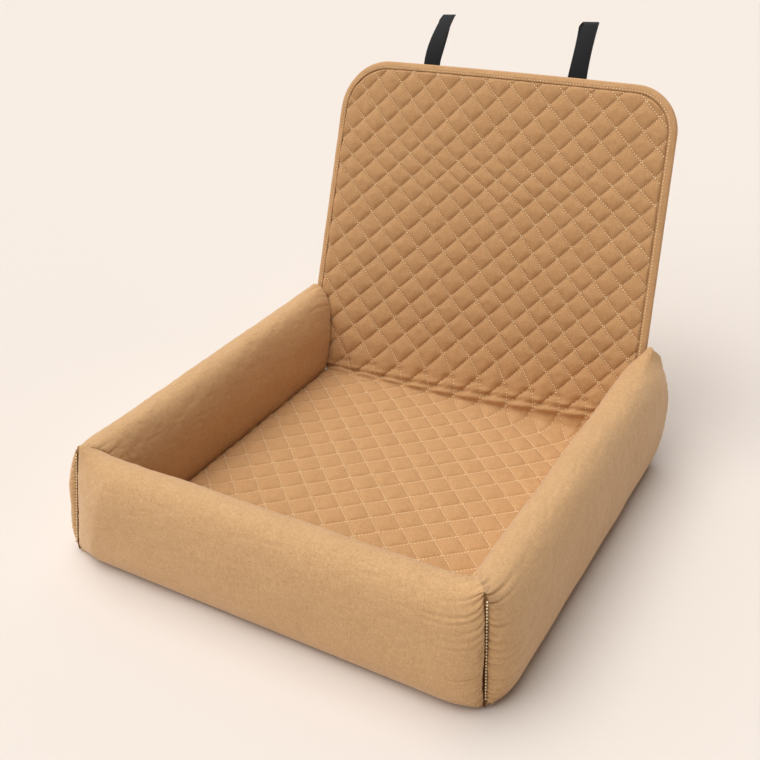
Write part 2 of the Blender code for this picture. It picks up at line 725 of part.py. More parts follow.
def main():
    clear_scene()
    looks = {
        "cover": make_material("tan woven cover", (0.60, 0.35, 0.17), 0.9),
        "quilt": make_material("tan quilted cotton", (0.56, 0.31, 0.14), 0.9),
        "binding": make_material("tan binding tape", (0.54, 0.30, 0.14), 0.85),
        "lining": make_material("tan lining", (0.46, 0.26, 0.12), 0.9),
        "base": make_material("dark non-slip sheet", (0.07, 0.06, 0.05), 0.8),
        "foam": make_material("cream foam", (0.80, 0.76, 0.62), 0.95),
        "fill": make_material("white polyester fill", (0.88, 0.88, 0.86), 0.95),
        "board": make_material("stiffening board", (0.12, 0.12, 0.12), 0.6),
        "zip": make_material("tan zip tape", (0.52, 0.35, 0.20), 0.7),
        "slider": make_material("nickel zip slider", (0.60, 0.58, 0.54), 0.3, 1.0),
        "strap": make_material("black webbing", (0.02, 0.02, 0.022), 0.75),
        "patch": make_material("black hook and loop tape", (0.03, 0.03, 0.03), 0.95),
    }
    for side in ("front", "left", "right"):
        build_bolster(side, looks)
        build_zip(side, looks)
    build_seat(looks)
    fold, fold_at = build_back(looks)
    build_strap("left", LEFT_STRAP_LEAN, looks, fold, fold_at)
    build_strap("right", RIGHT_STRAP_LEAN, looks, fold, fold_at)
    bpy.context.view_layer.update()


main()
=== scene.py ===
import json
import math

import bmesh
import bpy
import numpy as np
from mathutils import Matrix, Vector, geometry


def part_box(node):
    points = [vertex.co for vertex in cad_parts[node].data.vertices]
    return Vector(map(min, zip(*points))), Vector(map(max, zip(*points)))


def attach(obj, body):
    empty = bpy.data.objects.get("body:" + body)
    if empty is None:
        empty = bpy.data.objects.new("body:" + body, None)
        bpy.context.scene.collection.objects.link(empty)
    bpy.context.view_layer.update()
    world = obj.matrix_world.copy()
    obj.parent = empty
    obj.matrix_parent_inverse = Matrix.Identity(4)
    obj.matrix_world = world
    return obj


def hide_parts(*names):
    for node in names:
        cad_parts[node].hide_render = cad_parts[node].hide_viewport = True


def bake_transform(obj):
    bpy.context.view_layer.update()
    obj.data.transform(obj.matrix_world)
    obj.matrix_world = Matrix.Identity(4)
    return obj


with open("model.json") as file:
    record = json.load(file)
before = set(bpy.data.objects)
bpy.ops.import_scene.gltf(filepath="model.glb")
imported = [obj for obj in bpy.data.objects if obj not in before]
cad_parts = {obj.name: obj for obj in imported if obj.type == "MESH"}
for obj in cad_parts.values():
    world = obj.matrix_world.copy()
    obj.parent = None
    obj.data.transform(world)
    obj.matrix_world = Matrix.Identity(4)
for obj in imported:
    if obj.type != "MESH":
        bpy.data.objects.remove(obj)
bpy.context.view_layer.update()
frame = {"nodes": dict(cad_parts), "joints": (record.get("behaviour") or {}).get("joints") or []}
JOINTS = {joint["name"]: np.array(joint.get("pos_m", (0, 0, 0))) for joint in frame["joints"]}
MM = 0.001

# Bolsters
BASE_WIDTH = 0.580
FRONT_Y = -0.250
SEAT_HEIGHT = 0.028
FIT_GAP = 0.0003
BOLSTER_THICKNESS = 0.070
BOLSTER_HEIGHT = 0.140
BOLSTER_WIDEST_HEIGHT = 0.060
BOLSTER_TOP_FULLNESS = 2.45
BOLSTER_FOOT_FULLNESS = 3.0
BOLSTER_FOOT_PRESS = 0.0015
BOLSTER_SLOT_ANGLE = math.radians(12)
# How far along a cover's closing on a corner seam reaches for each metre of its depth, and how round it
# is: 1 is straight, 2 an ellipse
CORNERS = {"front": ((1.95, 1.08), (1.45, 1.55)), "left": ((1.28, 1.45),), "right": ((1.45, 1.55),)}
# How far above the bolsters' height each seam's tape ends, and how far it stands proud of the seam
CORNER_TAPES = {"left": (-0.003, 0.0012), "right": (0.003, 0.0040)}
CORNER_PEAK = 0.008
CORNER_PEAK_REACH = 0.014
CORNER_PEAK_WIDTH = 0.022
REAR_ROUNDING = 0.034
REAR_DRAW_WIDTH = {"left": 0.12, "right": 0.05}
# Height, depth and width of the peak on each rear end
REAR_PEAKS = {"left": (0.008, 0.035, 0.016), "right": (0.019, 0.033, 0.011)}
REAR_PEAK_REACH = 0.014
REAR_FALL = 0.003
REAR_FALL_OUTSIDE = 0.015
REAR_WRAP = 0.026
# Depths between which a rear end goes on from the panel's face to beside the panel's edge
REAR_WRAP_DEPTHS = (0.0300, 0.0215)
ZIP_SLOT_WIDTH = 0.010
ZIP_LENGTHS = {"front": 0.360, "left": 0.300, "right": 0.300}
STUFFING_INSET = 0.007
STUFFING_FOOT = 0.006
STUFFING_LUMPS = 0.0009
# Depth and size of the skins' soft lumps, of their fine unevenness, and of their slanting creases
SKIN_LUMPS = (0.0006, 0.070)
SKIN_GRAIN = (0.00020, 0.016)
SKIN_CREASES = (0.00040, 0.014)
# Depth and reach of a cover's sinking into its seam, and a short tuck by each seam's foot
SEAM_SINK = 0.0016
# Depth of each front corner's seam in from both outer faces at its foot, and how much deeper its top is
SEAM_DEPTHS = {"left": (0.0190, 0.0160), "right": (0.0278, 0.0)}
SEAM_LEAN_START = 0.012
SEAM_LEAN_RISE = 0.130
# Seed, reach, depth, rise and spacing of the gathers by each seam, and whether it is the bolster's finish
GATHERS = {"front": ((True, 11, 0.021, 0.0042, 0.9, 0.0064), (False, 12, 0.010, 0.0014, 0.5, 0.0075)),
           "left": ((False, 16, 0.019, 0.0022, 0.2, 0.0070), (True, 36, 0.014, 0.0022, 0.5, 0.0090)),
           "right": ((False, 18, 0.019, 0.0050, 0.2, 0.0070), (True, 38, 0.014, 0.0022, 0.5, 0.0090))}
TUCK = {"place": 0.0042, "level": 0.008, "length": 0.021, "heading": math.radians(-58), "width": 0.0013,
        "depth": 0.0032}

# Back panel
CREASE = JOINTS["back_recline"]
BACK_LENGTH = 0.4535
BACK_WIDTH_LOW = 0.517
BACK_WIDTH_TOP = 0.483
BACK_CORNER_RADII = {-1: 0.073, 1: 0.059}
BACK_LEAN = math.radians(17.8)
BACK_TAPER = math.atan((BACK_WIDTH_LOW - BACK_WIDTH_TOP) / 2 / BACK_LENGTH)
BACK_TOP_BOW = 0.002
BACK_PUFF = 0.0035
SWAY_ASIDE = 0.0030
SWAY_ASIDE_TOP = 0.0010
SWAY_DOWN = 0.0024
QUILT_BACK = -0.004
QUILT_FLANGE = 0.0009
BINDING_WIDTH = 0.0100
TOPSTITCH_INSET = 0.0078
BINDING_FRONT = -0.0011
BINDING_BACK = -0.0097
LINING_FRONT = -0.0076
LINING_THICKNESS = 0.001
LINING_CLOTH = 0.0005
LINING_DRAG = 0.00035
BOARD_FOOT = 0.006
BOARD_INSET = 0.005
BOARD_FOLD_GAP = 0.004
BOARD_CLEARANCE = 0.0004
BINDING_CLOTH = 0.0008
ACROSS = np.array([1.0, 0.0, 0.0])
UP = np.array([0.0, math.sin(BACK_LEAN), math.cos(BACK_LEAN)])
OUT = np.array([0.0, -math.cos(BACK_LEAN), math.sin(BACK_LEAN)])
FOLD_UP = float((JOINTS["back_fold"] - CREASE) @ UP)

# Quilting: columns and rows are half diamonds, counted from the crossing nearest the crease's middle
COLUMN_STEP = 0.0184
COLUMN_STEP_LOW = 0.0020
COLUMN_STEP_SEAT = 0.0016
COLUMN_START = -0.011
PANEL_ROW_STEP = 0.0216
PANEL_ROW_START = 0.0027
SEAT_ROW_STEP = 0.01935
SEAT_ROW_START = -0.004
FADE_ROWS = 7.0
DIAMOND_SIDE = 0.0284
PILLOW_HEIGHT = 0.0024
PILLOW_MORE_ON_PANEL = 0.0008
PILLOW_REACH = 0.0112
STITCHED_FLAT = 0.0004
# Millimetres that the sewing drifts aside and up, for 1, r, a, a r, a^2, and r^3 up: a and r are shares of
# the panel's half width and half height from its middle
DRIFT_ASIDE = (4.7, -3.7, 1.9, -3.4, -1.1)
DRIFT_UP = (1.9, -5.0, 2.0, -2.7, -1.3, 2.3)
SEAT_CROWN = 0.008
SEAT_EDGE_SUNK = 0.0052
SEAT_EDGE_REACH = 0.0055
PAD_BACK_ON_SEAT = -0.0068
PAD_BACK_RISE = 0.0028
CELLS = 12
SPLIT_ROW = 3
CREASE_RADIUS = 0.008
SEAT_LOW, SEAT_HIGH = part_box("seat_quilt")
SEAT_HALF = SEAT_HIGH.x + 0.0016
SEAT_FRONT = SEAT_LOW.y - CREASE[1]

# Stitching: its thread stands a little proud on the lines that fall to the right, and less on the others
STITCH_PITCH = 0.0041
STITCH_LENGTH = 0.0025
STITCH_RADIUS = 0.00055
STITCH_PROUD = (0.0009, 0.0002)
CORNER_STITCH_PITCH = 0.0040
CORNER_STITCH_RADIUS = 0.0008
CORNER_STITCH_LENGTH = 0.0023
CORNER_TAPE_HALF = 0.0013
CORNER_TAPE_SUNK = 0.0045
BINDING_STITCH_RADIUS = 0.0005

# Straps
STRAP_WIDTH = 0.025
STRAP_THICKNESS = 0.0016
RIB_HEIGHT = 0.00012
RIB_PITCH = 0.00155
STRAP_RISE = 0.0745
STRAP_LEANS = {"left": 0.024, "right": 0.012}
STRAP_LOOP_GAP = 0.011
STRAP_LOOP_SLIP = 0.010
STRAP_TWIST = math.radians(-20)
STRAP_BEND_STEPS = 9
# Each strap's shift aside at its foot, and how much more of it there is at its top
STRAP_SHIFTS = {"left": (-0.0068, 0.0050), "right": (-0.0010, 0.0032)}
STRAP_TAB_LENGTH = 0.040
STRAP_TAIL_LENGTH = 0.125
PATCH_LENGTH = 0.050
PATCH_THICKNESS = 0.0012

# The pad's foam
FOAM_CLEARANCE = 0.0004
FOAM_END_ROUNDING = 0.0015
FOAM_POWER = 0.12


def smooth(low, high, value):
    """0 before low, 1 after high, and 3t^2 - 2t^3 between them."""
    t = np.clip((value - low) / (high - low), 0, 1)
    return t * t * (3 - 2 * t)


def bell(value, middle, width):
    """1 at middle, falling to both sides as exp(-((value - middle) / width)^2)."""
    return np.exp(-((value - middle) / width) ** 2)


def signed_power(value, power):
    """The power of a value's size, with the value's sign."""
    return np.sign(value) * np.abs(value) ** power


def together(*parts):
    """Numbers side by side along a last axis, each spread to the shape of all."""
    return np.stack(np.broadcast_arrays(*parts), axis=-1)


def unit(vectors):
    """Vectors along the last axis, each divided by its length."""
    return vectors / np.linalg.norm(vectors, axis=-1, keepdims=True)


def run_along(line):
    """Distance of each point of a line from its first one, measured along it."""
    return np.concatenate([[0], np.cumsum(np.linalg.norm(np.diff(line, axis=0), axis=1))])


def ripple(x, y, seed, count=24, spread=1.0):
    """Sum of sine waves of random heading and phase, with wavelengths near spread; about -1 to 1."""
    draw = np.random.default_rng(seed)
    total = np.zeros(np.broadcast(x, y).shape)
    for _ in range(count):
        heading = draw.uniform(0, 2 * math.pi)
        wave = 2 * math.pi / (spread * draw.uniform(0.6, 1.7))
        phase = draw.uniform(0, 2 * math.pi)
        total += np.sin(wave * (x * math.cos(heading) + y * math.sin(heading)) + phase)
    return total / math.sqrt(count)


def linear(code):
    """The linear colour of an sRGB hex code."""
    parts = [int(code[i:i + 2], 16) / 255 for i in (1, 3, 5)]
    return tuple(v / 12.92 if v <= 0.04045 else ((v + 0.055) / 1.055) ** 2.4 for v in parts) + (1.0,)


def add_node(tree, kind, sockets=(), out=0, **settings):
    """Adds a shader node and gives one of its outputs, or all with out of None.

    sockets are pairs of an input and its value or what feeds it.
    """
    made = tree.nodes.new("ShaderNode" + kind)
    for name, value in settings.items():
        setattr(made, name, value)
    for place, value in dict(sockets).items():
        if isinstance(value, bpy.types.NodeSocket):
            tree.links.new(value, made.inputs[place])
        else:
            made.inputs[place].default_value = value
    if out is None or not made.outputs:
        return made.outputs
    return made.outputs[out]


def new_material(name):
    """An empty node material and its tree."""
    made = bpy.data.materials.new(name)
    made.use_nodes = True
    made.node_tree.nodes.clear()
    return made, made.node_tree


def add_math(tree, operation, *values):
    """The result of one operation on two or three values."""
    return add_node(tree, "Math", enumerate(values), operation=operation)


def add_grain(tree, place, scale, detail, roughness=0.5, shift=(0, 0, 0)):
    """Random grain at a place, scaled in each of its three directions."""
    scaled = add_node(tree, "Mapping", {"Vector": place, "Scale": scale, "Location": shift})
    return add_node(tree, "TexNoise", {
        "Vector": scaled, "Scale": 1.0, "Detail": detail, "Roughness": roughness}, out="Fac")


def add_look(tree, share, dark, light, height, strength, relief, sockets):
    """Ends a material: a colour between two dyes, the relief of a height, and the finish's own values."""
    colour = add_node(tree, "Mix", {"Factor": share, 6: linear(dark), 7: linear(light)}, out=2,
                      data_type="RGBA")
    bump = add_node(tree, "Bump", {"Height": height, "Strength": strength, "Distance": relief})
    shader = add_node(tree, "BsdfPrincipled", {"Base Color": colour, "Normal": bump, **sockets})
    add_node(tree, "OutputMaterial", {"Surface": shader})


def woven_cloth(name, dark, light, thread, slub, relief, sheen=0.25):
    """Dyed cotton canvas, plain woven from uneven yarn.

    Thread lines run both ways, and slubs, thicker stretches of yarn, streak along them. The eye sees a
    fine linen-like grain, a few paler and darker threads, and a soft sheen where the nap catches light.
    """
    made, tree = new_material(name)
    place = add_node(tree, "TexCoord", out="UV")
    heights, tones = [], []
    for turn in (0, 1):
        fine, wide = [1 / thread] * 3, [0.85 / thread] * 3
        fine[turn], wide[turn] = 1 / slub, 0.5 / slub
        heights.append(add_grain(tree, place, fine, 2.0, 0.6))
        tones.append(add_grain(tree, place, wide, 3.0, 0.7, (3.1, 7.7, 1.3)))
    weave = add_math(tree, "ADD", *heights)
    yarns = add_math(tree, "ADD", weave, add_math(tree, "ADD", *tones))
    mottle = 0.25
    tone = add_math(tree, "MULTIPLY_ADD", add_grain(tree, place, (22.0,) * 3, 3.0), mottle, yarns)
    half = 2.0 + mottle / 2
    share = add_node(tree, "MapRange", {"Value": tone, "From Min": half - 0.7, "From Max": half + 0.7})
    add_look(tree, share, dark, light, weave, 0.6, relief, {
        "Roughness": 0.92, "Specular IOR Level": 0.25, "Sheen Weight": sheen, "Sheen Roughness": 0.45,
        "Sheen Tint": linear("#F6E8D8")})
    return made


def plain_finish(name, dark, light, size, relief, roughness, metallic=0.0, stretch=(1, 1, 1)):
    """A finish with a random grain of one size on Object coordinates, in colour and in relief."""
    made, tree = new_material(name)
    place = add_node(tree, "TexCoord", out="Object")
    speck = add_grain(tree, place, [v / size for v in stretch], 3.0)
    share = add_node(tree, "MapRange", {"Value": speck, "From Min": 0.3, "From Max": 0.7})
    add_look(tree, share, dark, light, speck, 0.7, relief, {"Roughness": roughness, "Metallic": metallic})
    return made


def webbing_finish():
    """Polypropylene webbing, woven flat and dyed black: fine slanting ribs and a dull plastic gloss."""
    made, tree = new_material("black woven polypropylene webbing")
    place = add_node(tree, "TexCoord", out="UV")
    rib = 1.3 * MM
    slant = add_node(tree, "Mapping", {
        "Vector": place, "Rotation": (0, 0, math.radians(35)), "Scale": (1 / rib,) * 3})
    wave = add_node(tree, "TexWave", {"Vector": slant, "Scale": 0.314, "Distortion": 1.2, "Detail": 2.0},
                    out="Fac")
    height = add_math(tree, "ADD", wave, add_grain(tree, place, (900.0,) * 3, 2.0))
    add_look(tree, wave, "#060708", "#15161A", height, 0.7, 0.15 * MM,
             {"Roughness": 0.6, "Specular IOR Level": 0.15})
    return made


class Shell:
    """Collects the points, faces and cloth coordinates of one piece."""

    def __init__(self):
        self.points = []
        self.flat = []
        self.faces = []
        self.count = 0

    def add(self, points, faces, flat=None):
        """Adds points with faces that count from the first of them; flat holds cloth coordinates."""
        points = np.asarray(points, float).reshape(-1, 3)
        self.points.append(points)
        self.flat.append(np.zeros((len(points), 2)) if flat is None else np.reshape(flat, (-1, 2)))
        self.faces += [np.asarray(f) + self.count for f in faces]
        self.count += len(points)

    def add_grid(self, points, flat, flip=False, wrap=False):
        """Adds a grid of points joined by quads; wrap joins the last column to the first."""
        rows, columns = points.shape[:2]
        index = np.arange(rows * columns).reshape(rows, columns)
        if wrap:
            index = np.concatenate([index, index[:, :1]], axis=1)
        quads = np.stack([index[:-1, :-1], index[:-1, 1:], index[1:, 1:], index[1:, :-1]], axis=-1)
        quads = quads.reshape(-1, 4)
        self.add(points, [quads[:, ::-1] if flip else quads], flat)

    def add_cap(self, ring, flat, flip=False):
        """Closes a ring of points by a fan about its middle."""
        count = len(ring)
        turn = np.arange(count)
        fan = np.stack([turn, (turn + 1) % count, np.full(count, count)], axis=-1)
        middle = np.concatenate([ring, [np.mean(ring, axis=0)]])
        flat = np.concatenate([flat, [np.mean(flat, axis=0)]])
        self.add(middle, [fan[:, ::-1] if flip else fan], flat)

    def build(self, name, material, weld=0.0):
        """Makes the object, and merges points closer than weld."""
        points = np.concatenate(self.points)
        flat = np.concatenate(self.flat)
        corners = np.concatenate([f.ravel() for f in self.faces])
        sizes = np.concatenate([np.full(len(f), f.shape[1]) for f in self.faces])
        starts = np.concatenate([[0], np.cumsum(sizes)[:-1]])
        mesh = bpy.data.meshes.new(name)
        for part, key, values in ((mesh.vertices, "co", points.astype(np.float32)),
                                  (mesh.loops, "vertex_index", corners.astype(np.int32)),
                                  (mesh.polygons, "loop_start", starts.astype(np.int32))):
            part.add(len(values))
            part.foreach_set(key, values.ravel())
        mesh.update(calc_edges=True)
        layer = mesh.uv_layers.new(name="cloth")
        layer.data.foreach_set("uv", flat[corners].astype(np.float32).ravel())
        mesh.materials.append(material)
        if weld:
            weld_points(mesh, weld)
        mesh.validate()
        mesh.shade_smooth()
        made = bpy.data.objects.new(name, mesh)
        bpy.context.scene.collection.objects.link(made)
        return made


def tube(name, material, points, flat, flip=False):
    """A closed tube through a grid of points, each of whose rows is a ring, with a cap at either end."""
    shell = Shell()
    shell.add_grid(points, flat, flip, wrap=True)
    shell.add_cap(points[0], flat[0], not flip)
    shell.add_cap(points[-1], flat[-1], flip)
    return shell.build(name, material)


def weld_points(mesh, distance):
    """Merges points of a mesh that lie closer than distance."""
    work = bmesh.new()
    work.from_mesh(mesh)
    bmesh.ops.remove_doubles(work, verts=work.verts, dist=distance)
    work.to_mesh(mesh)
    work.free()


def declare_padding(made, node):
    """Attaches a padded piece to the base, and hides the node of the base that it stands for."""
    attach(made, "base")
    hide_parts(node)


def bend_at_fold(piece):
    """Bakes the transform of a piece of the panel into its points."""
    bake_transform(piece)


def normals_of(points):
    """Unit normals of a grid of points: the cross product of its two central differences."""
    across = np.gradient(points, axis=1)
    along = np.gradient(points, axis=0)
    made = np.cross(along, across)
    return made / np.maximum(np.linalg.norm(made, axis=-1, keepdims=True), 1e-12)


def bolster_section(inset, foot, count):
    """Points round a bolster, from one lip of its zip slot to the other.

    depth = half + reach * sign(cos) |cos|^p and height = widest + tall * sign(sin) |sin|^p, with p of
    2 / BOLSTER_TOP_FULLNESS above the widest height and 2 / BOLSTER_FOOT_FULLNESS below it, pressed flat
    at the foot.
    """
    half = BOLSTER_THICKNESS / 2
    quarter = math.pi / 2
    angles = np.linspace(BOLSTER_SLOT_ANGLE - quarter, 3 * quarter - BOLSTER_SLOT_ANGLE, count - 2)
    above = np.sin(angles) > 0
    power = np.where(above, 2 / BOLSTER_TOP_FULLNESS, 2 / BOLSTER_FOOT_FULLNESS)
    tall = np.where(above, BOLSTER_HEIGHT - BOLSTER_WIDEST_HEIGHT,
                    BOLSTER_WIDEST_HEIGHT + BOLSTER_FOOT_PRESS) - inset
    depth = half + (half - inset) * signed_power(np.cos(angles), power)
    height = BOLSTER_WIDEST_HEIGHT + tall * signed_power(np.sin(angles), power)
    lip = ZIP_SLOT_WIDTH / 2
    depth = np.concatenate([[half + lip], depth, [half - lip]])
    return depth[None], np.concatenate([[foot], np.maximum(height, foot), [foot]])[None]


def panel_front_y(height):
    """Y of the quilting's most forward places on the leaning panel, at a height above the base."""
    slope = math.tan(BACK_LEAN) * (height - SEAT_HEIGHT)
    return CREASE[1] + slope - (BACK_PUFF + FIT_GAP) / math.cos(BACK_LEAN)


def bolster_cuts(side, depth, height, clearance):
    """Where the points of a bolster's section meet the cuts at its start and its finish.

    A side bolster's finish is the panel's face, and beside the panel's edge it goes on by REAR_WRAP.
    """
    if side == "front":
        start = -BASE_WIDTH / 2 + depth + clearance
        return start, -start
    beside = smooth(*REAR_WRAP_DEPTHS, depth + clearance * 0.7)
    middle = BOLSTER_HEIGHT / 2
    wrap = REAR_WRAP * beside * (1 - 0.35 * ((height - middle) / middle) ** 2)
    return FRONT_Y + depth + clearance, panel_front_y(height) - clearance + wrap


def end_places(first, last, fine, coarse, ratio=1.16):
    """Places along a bolster whose steps grow from fine at both ends to coarse in the middle."""
    steps = [0.0]
    step = fine
    while steps[-1] + step < (last - first) / 2:
        steps.append(steps[-1] + step)
        step = min(step * ratio, coarse)
    steps = np.array(steps)
    return np.concatenate([first + steps, [(first + last) / 2], (last - steps)[::-1]])


def closing_curve(share, power=2.0):
    """Falls from 1 at share 0 to 0 at share 1: 1 - (1 - (1 - share)^power)^(1 / power)."""
    q = np.clip(1 - share, 0, 1)
    return 1 - (1 - q**power) ** (1 / power)


def seam_depth(side, height):
    """Depth of a corner's seam in from both outer faces; the left one leans outwards to the foot."""
    foot, more = SEAM_DEPTHS[side]
    return foot + more * np.clip((height - SEAM_LEAN_START) / SEAM_LEAN_RISE, 0, 1)


def zip_middle(side):
    """Middle of a bolster's zip; on a side bolster it lies between the mitre and the rear end."""
    return 0.0 if side == "front" else (FRONT_Y + BOLSTER_THICKNESS / 2 + panel_front_y(0.0)) / 2


def bolster_grid(side, inset, foot, columns, fine, coarse):
    """The whole skin of a bolster as rings of (along, depth, height), drawn in towards its seams.

    The rings stand square to the bolster over the zip and turn evenly to the cuts beyond it. Towards a
    mitre the outer side closes in on the seam while the top rises to a small peak; towards a side
    bolster's rear end its outer side and its top close in. The distances from its start and from its
    finish come with the rings.
    """
    depth, height = bolster_section(inset, foot, columns)
    clearance = FIT_GAP / 2 + inset * math.sqrt(2)
    start, finish = bolster_cuts(side, depth, height, clearance)
    first, last = float(np.mean(start)), float(np.mean(finish))
    middle, half = zip_middle(side), ZIP_LENGTHS[side] / 2
    place = end_places(first, last, fine, coarse)[:, None]
    from_start, from_finish = place - first, last - place
    ends, seam = ((from_start, side),), from_start
    if side == "front":
        ends, seam = ((from_start, "left"), (from_finish, "right")), np.minimum(from_start, from_finish)
    d = depth
    for (gone, corner), (reach, power) in zip(ends, CORNERS[side]):
        drawn = seam_depth(corner, height)
        d = d + np.maximum(drawn - depth, 0) * closing_curve(gone / (reach * drawn), power)
    up = smooth(BOLSTER_WIDEST_HEIGHT, BOLSTER_HEIGHT, height)
    peak = bell(d, BOLSTER_THICKNESS / 2, CORNER_PEAK_WIDTH) * np.exp(-seam / CORNER_PEAK_REACH)
    h = height + CORNER_PEAK * peak * up
    if side != "front":
        inner = BOLSTER_THICKNESS - inset
        close = closing_curve(from_finish / REAR_ROUNDING)
        d = inner - (inner - d) * (1 - REAR_DRAW_WIDTH[side] * close)
        tall, spot, width = REAR_PEAKS[side]
        peak = bell(d, spot, width) * np.exp(-from_finish / REAR_PEAK_REACH)
        fall = REAR_FALL + REAR_FALL_OUTSIDE * smooth(0.026, 0.006, d)
        h = h + (tall * peak - fall * close) * up
    start, finish = bolster_cuts(side, d, h, clearance)
    turn_start = np.maximum(0.0, (middle - half - place) / (middle - half - first))
    turn_end = np.maximum(0.0, (place - middle - half) / (last - middle - half))
    along = place + (start - first) * turn_start + (finish - last) * turn_end
    return together(along, d, h), place, from_start, from_finish


def place_bolster(rings, side):
    """Turns (along, depth, height) rings into the front, left or right bolster's own place."""
    along, depth, height = np.moveaxis(rings, -1, 0)
    if side == "front":
        return together(along, FRONT_Y + depth, height)
    sign = -1 if side == "left" else 1
    return together(sign * (BASE_WIDTH / 2 - depth), along, height)


def gathers(from_seam, girth, seed, reach, depth, rise, spacing):
    """Relief of the gathers beside a seam.

    Each fold is a narrow valley a random place along the seam, spreading and fading over its own
    length; its line climbs by rise on its way to the seam, which bends it into a sweep.
    """
    draw = np.random.default_rng(seed)
    total = np.zeros(np.broadcast(from_seam, girth).shape)
    line = girth - rise * reach * np.exp(-from_seam / reach)
    place = float(girth.min()) - rise * reach
    while place < float(girth.max()):
        length = reach * draw.uniform(0.5, 1.6)
        width = spacing * draw.uniform(0.13, 0.24)
        spread = width * (1 + 0.8 * from_seam / length)
        fold = bell(line, place, spread) - 0.45 * bell(line, place, spread * 2.2)
        total -= draw.uniform(0.5, 1.0) * fold * np.exp(-(from_seam / length) ** 1.3)
        place += spacing * draw.uniform(0.7, 1.4) * (0.65 + 5 * max(place, 0.0))
    return depth * total * (0.35 + 0.65 * (1 - np.exp(-from_seam / 0.0025)))


def tuck(along, girth, place, level, length, heading, width, depth):
    """Relief of one short tuck: a sharp valley of a length along its heading, with a soft lip."""
    u = (along - place) * math.cos(heading) + (girth - level) * math.sin(heading)
    v = -(along - place) * math.sin(heading) + (girth - level) * math.cos(heading)
    run = smooth(-0.5, -0.2, u / length) * (1 - smooth(0.2, 0.5, u / length))
    return depth * run * (0.5 * bell(v, 1.6 * width, width) - bell(v, 0, width))


def rear_cap(ring, side):
    """Rings of (along, depth, height) that shrink from a side bolster's last ring to its middle.

    Each keeps to the cut that ends the bolster, so the end follows the panel's face and its edge.
    """
    middle = np.array([BOLSTER_THICKNESS / 2 + 0.006, BOLSTER_WIDEST_HEIGHT])
    shares = np.linspace(1, 0.03, 14)[:, None, None]
    spots = middle + (ring[None, :, 1:] - middle) * shares
    cut = bolster_cuts(side, spots[..., 0], spots[..., 1], 0.0)[1]
    own = (ring[:, 0] - cut[0]) * shares[..., 0] ** 2 - 0.0006 * (1 - shares[..., 0])
    return np.concatenate([(cut + own)[..., None], spots], axis=-1)


def build_bolster(side, cloth):
    """A bolster's cover: a sewn, stuffed tube with gathers at its seams and soft unevenness."""
    rings, place, from_start, from_finish = bolster_grid(side, 0.0, 0.0, 340, 0.0006, 0.0030)
    girth = run_along(rings[len(rings) // 2][:, 1:])[None, :]
    outer = girth[0, -1] - girth
    height = rings[..., 2]
    seed = {"front": 3, "left": 5, "right": 7}[side]
    lift = SKIN_LUMPS[0] * ripple(place * 0.6, girth, seed, 22, SKIN_LUMPS[1])
    lift = lift + SKIN_GRAIN[0] * ripple(place, girth * 0.7, seed + 20, 40, SKIN_GRAIN[1])
    # Creases where the cloth is drawn round the fill, slanting along the bolster
    drawn = ripple(place * 0.45, girth + 0.25 * place, seed + 60, 30, SKIN_CREASES[1])
    lift = lift - SKIN_CREASES[0] * np.maximum(drawn - 0.3, 0) * smooth(0.02, 0.11, height)
    lift = lift * smooth(0.004, 0.03, height)
    for at_finish, *shape in GATHERS[side]:
        lift = lift + gathers(from_finish if at_finish else from_start, outer, *shape)
    outside = rings[..., 1] < BOLSTER_THICKNESS / 2
    for gone in (from_start, from_finish) if side == "front" else (from_start,):
        lift = lift - SEAM_SINK * np.exp(-gone / SEAM_SINK) + outside * tuck(gone, height, **TUCK)
    lift = lift * smooth(0.0, 0.003, height)
    rings = rings - normals_of(rings) * lift[..., None]
    rings[..., 2] = np.maximum(rings[..., 2], 0.0)
    flat = together(rings[..., 0], girth)
    points = place_bolster(rings, side)
    flip = side != "left"
    shell = Shell()
    shell.add_grid(points, flat, flip)
    # The strip between the zip's lips is closed beyond the zip's two ends
    shut = np.abs(place[:, 0] - zip_middle(side)) > ZIP_LENGTHS[side] / 2
    for piece in np.split(np.arange(len(place)), np.where(np.diff(shut))[0] + 1):
        if shut[piece[0]]:
            span = np.arange(max(piece[0] - 1, 0), min(piece[-1] + 2, len(place)))
            lip = flat[span][:, -1]
            shell.add_grid(points[span][:, [-1, 0]], np.stack([lip, lip + (0, ZIP_SLOT_WIDTH)], axis=1), flip)
    shell.add_cap(points[0], flat[0], not flip)
    end = points[-1]
    if side != "front":
        cap = place_bolster(rear_cap(rings[-1], side), side)
        shell.add_grid(cap, np.broadcast_to(flat[-1], cap.shape[:2] + (2,)), flip, wrap=True)
        end = cap[-1]
    shell.add_cap(end, flat[-1], flip)
    made = shell.build(side + "_bolster_skin", cloth, weld=1e-5)
    declare_padding(made, side + "_bolster_cover")


def build_stuffing(side, fleece):
    """The loose fibre inside a cover: the cover's own form, smaller and lumpy."""
    rings, place, _, _ = bolster_grid(side, STUFFING_INSET, STUFFING_FOOT, 60, 0.004, 0.008)
    lumps = STUFFING_LUMPS * ripple(place, rings[..., 1] + rings[..., 2], 41, 20, 0.03)
    rings = rings - normals_of(rings) * lumps[..., None]
    rings[..., 2] = np.maximum(rings[..., 2], 0.0052)
    made = tube(side + "_bolster_stuffing", fleece, place_bolster(rings, side),
                together(rings[..., 0], rings[..., 2]), side != "left")
    declare_padding(made, side + "_bolster_fill")


def sway(x, s, way=1):
    """Moves a place on the panel as the soft panel hangs: a little to the left, its top a little low.

    way is 1 to move it, and -1 to undo the move.
    """
    share = np.clip(s / BACK_LENGTH, 0, 1)
    aside = SWAY_ASIDE * smooth(0, 0.08, s) + SWAY_ASIDE_TOP * share * (1 + x / 0.24)
    return x - way * aside, s - way * SWAY_DOWN * share**2


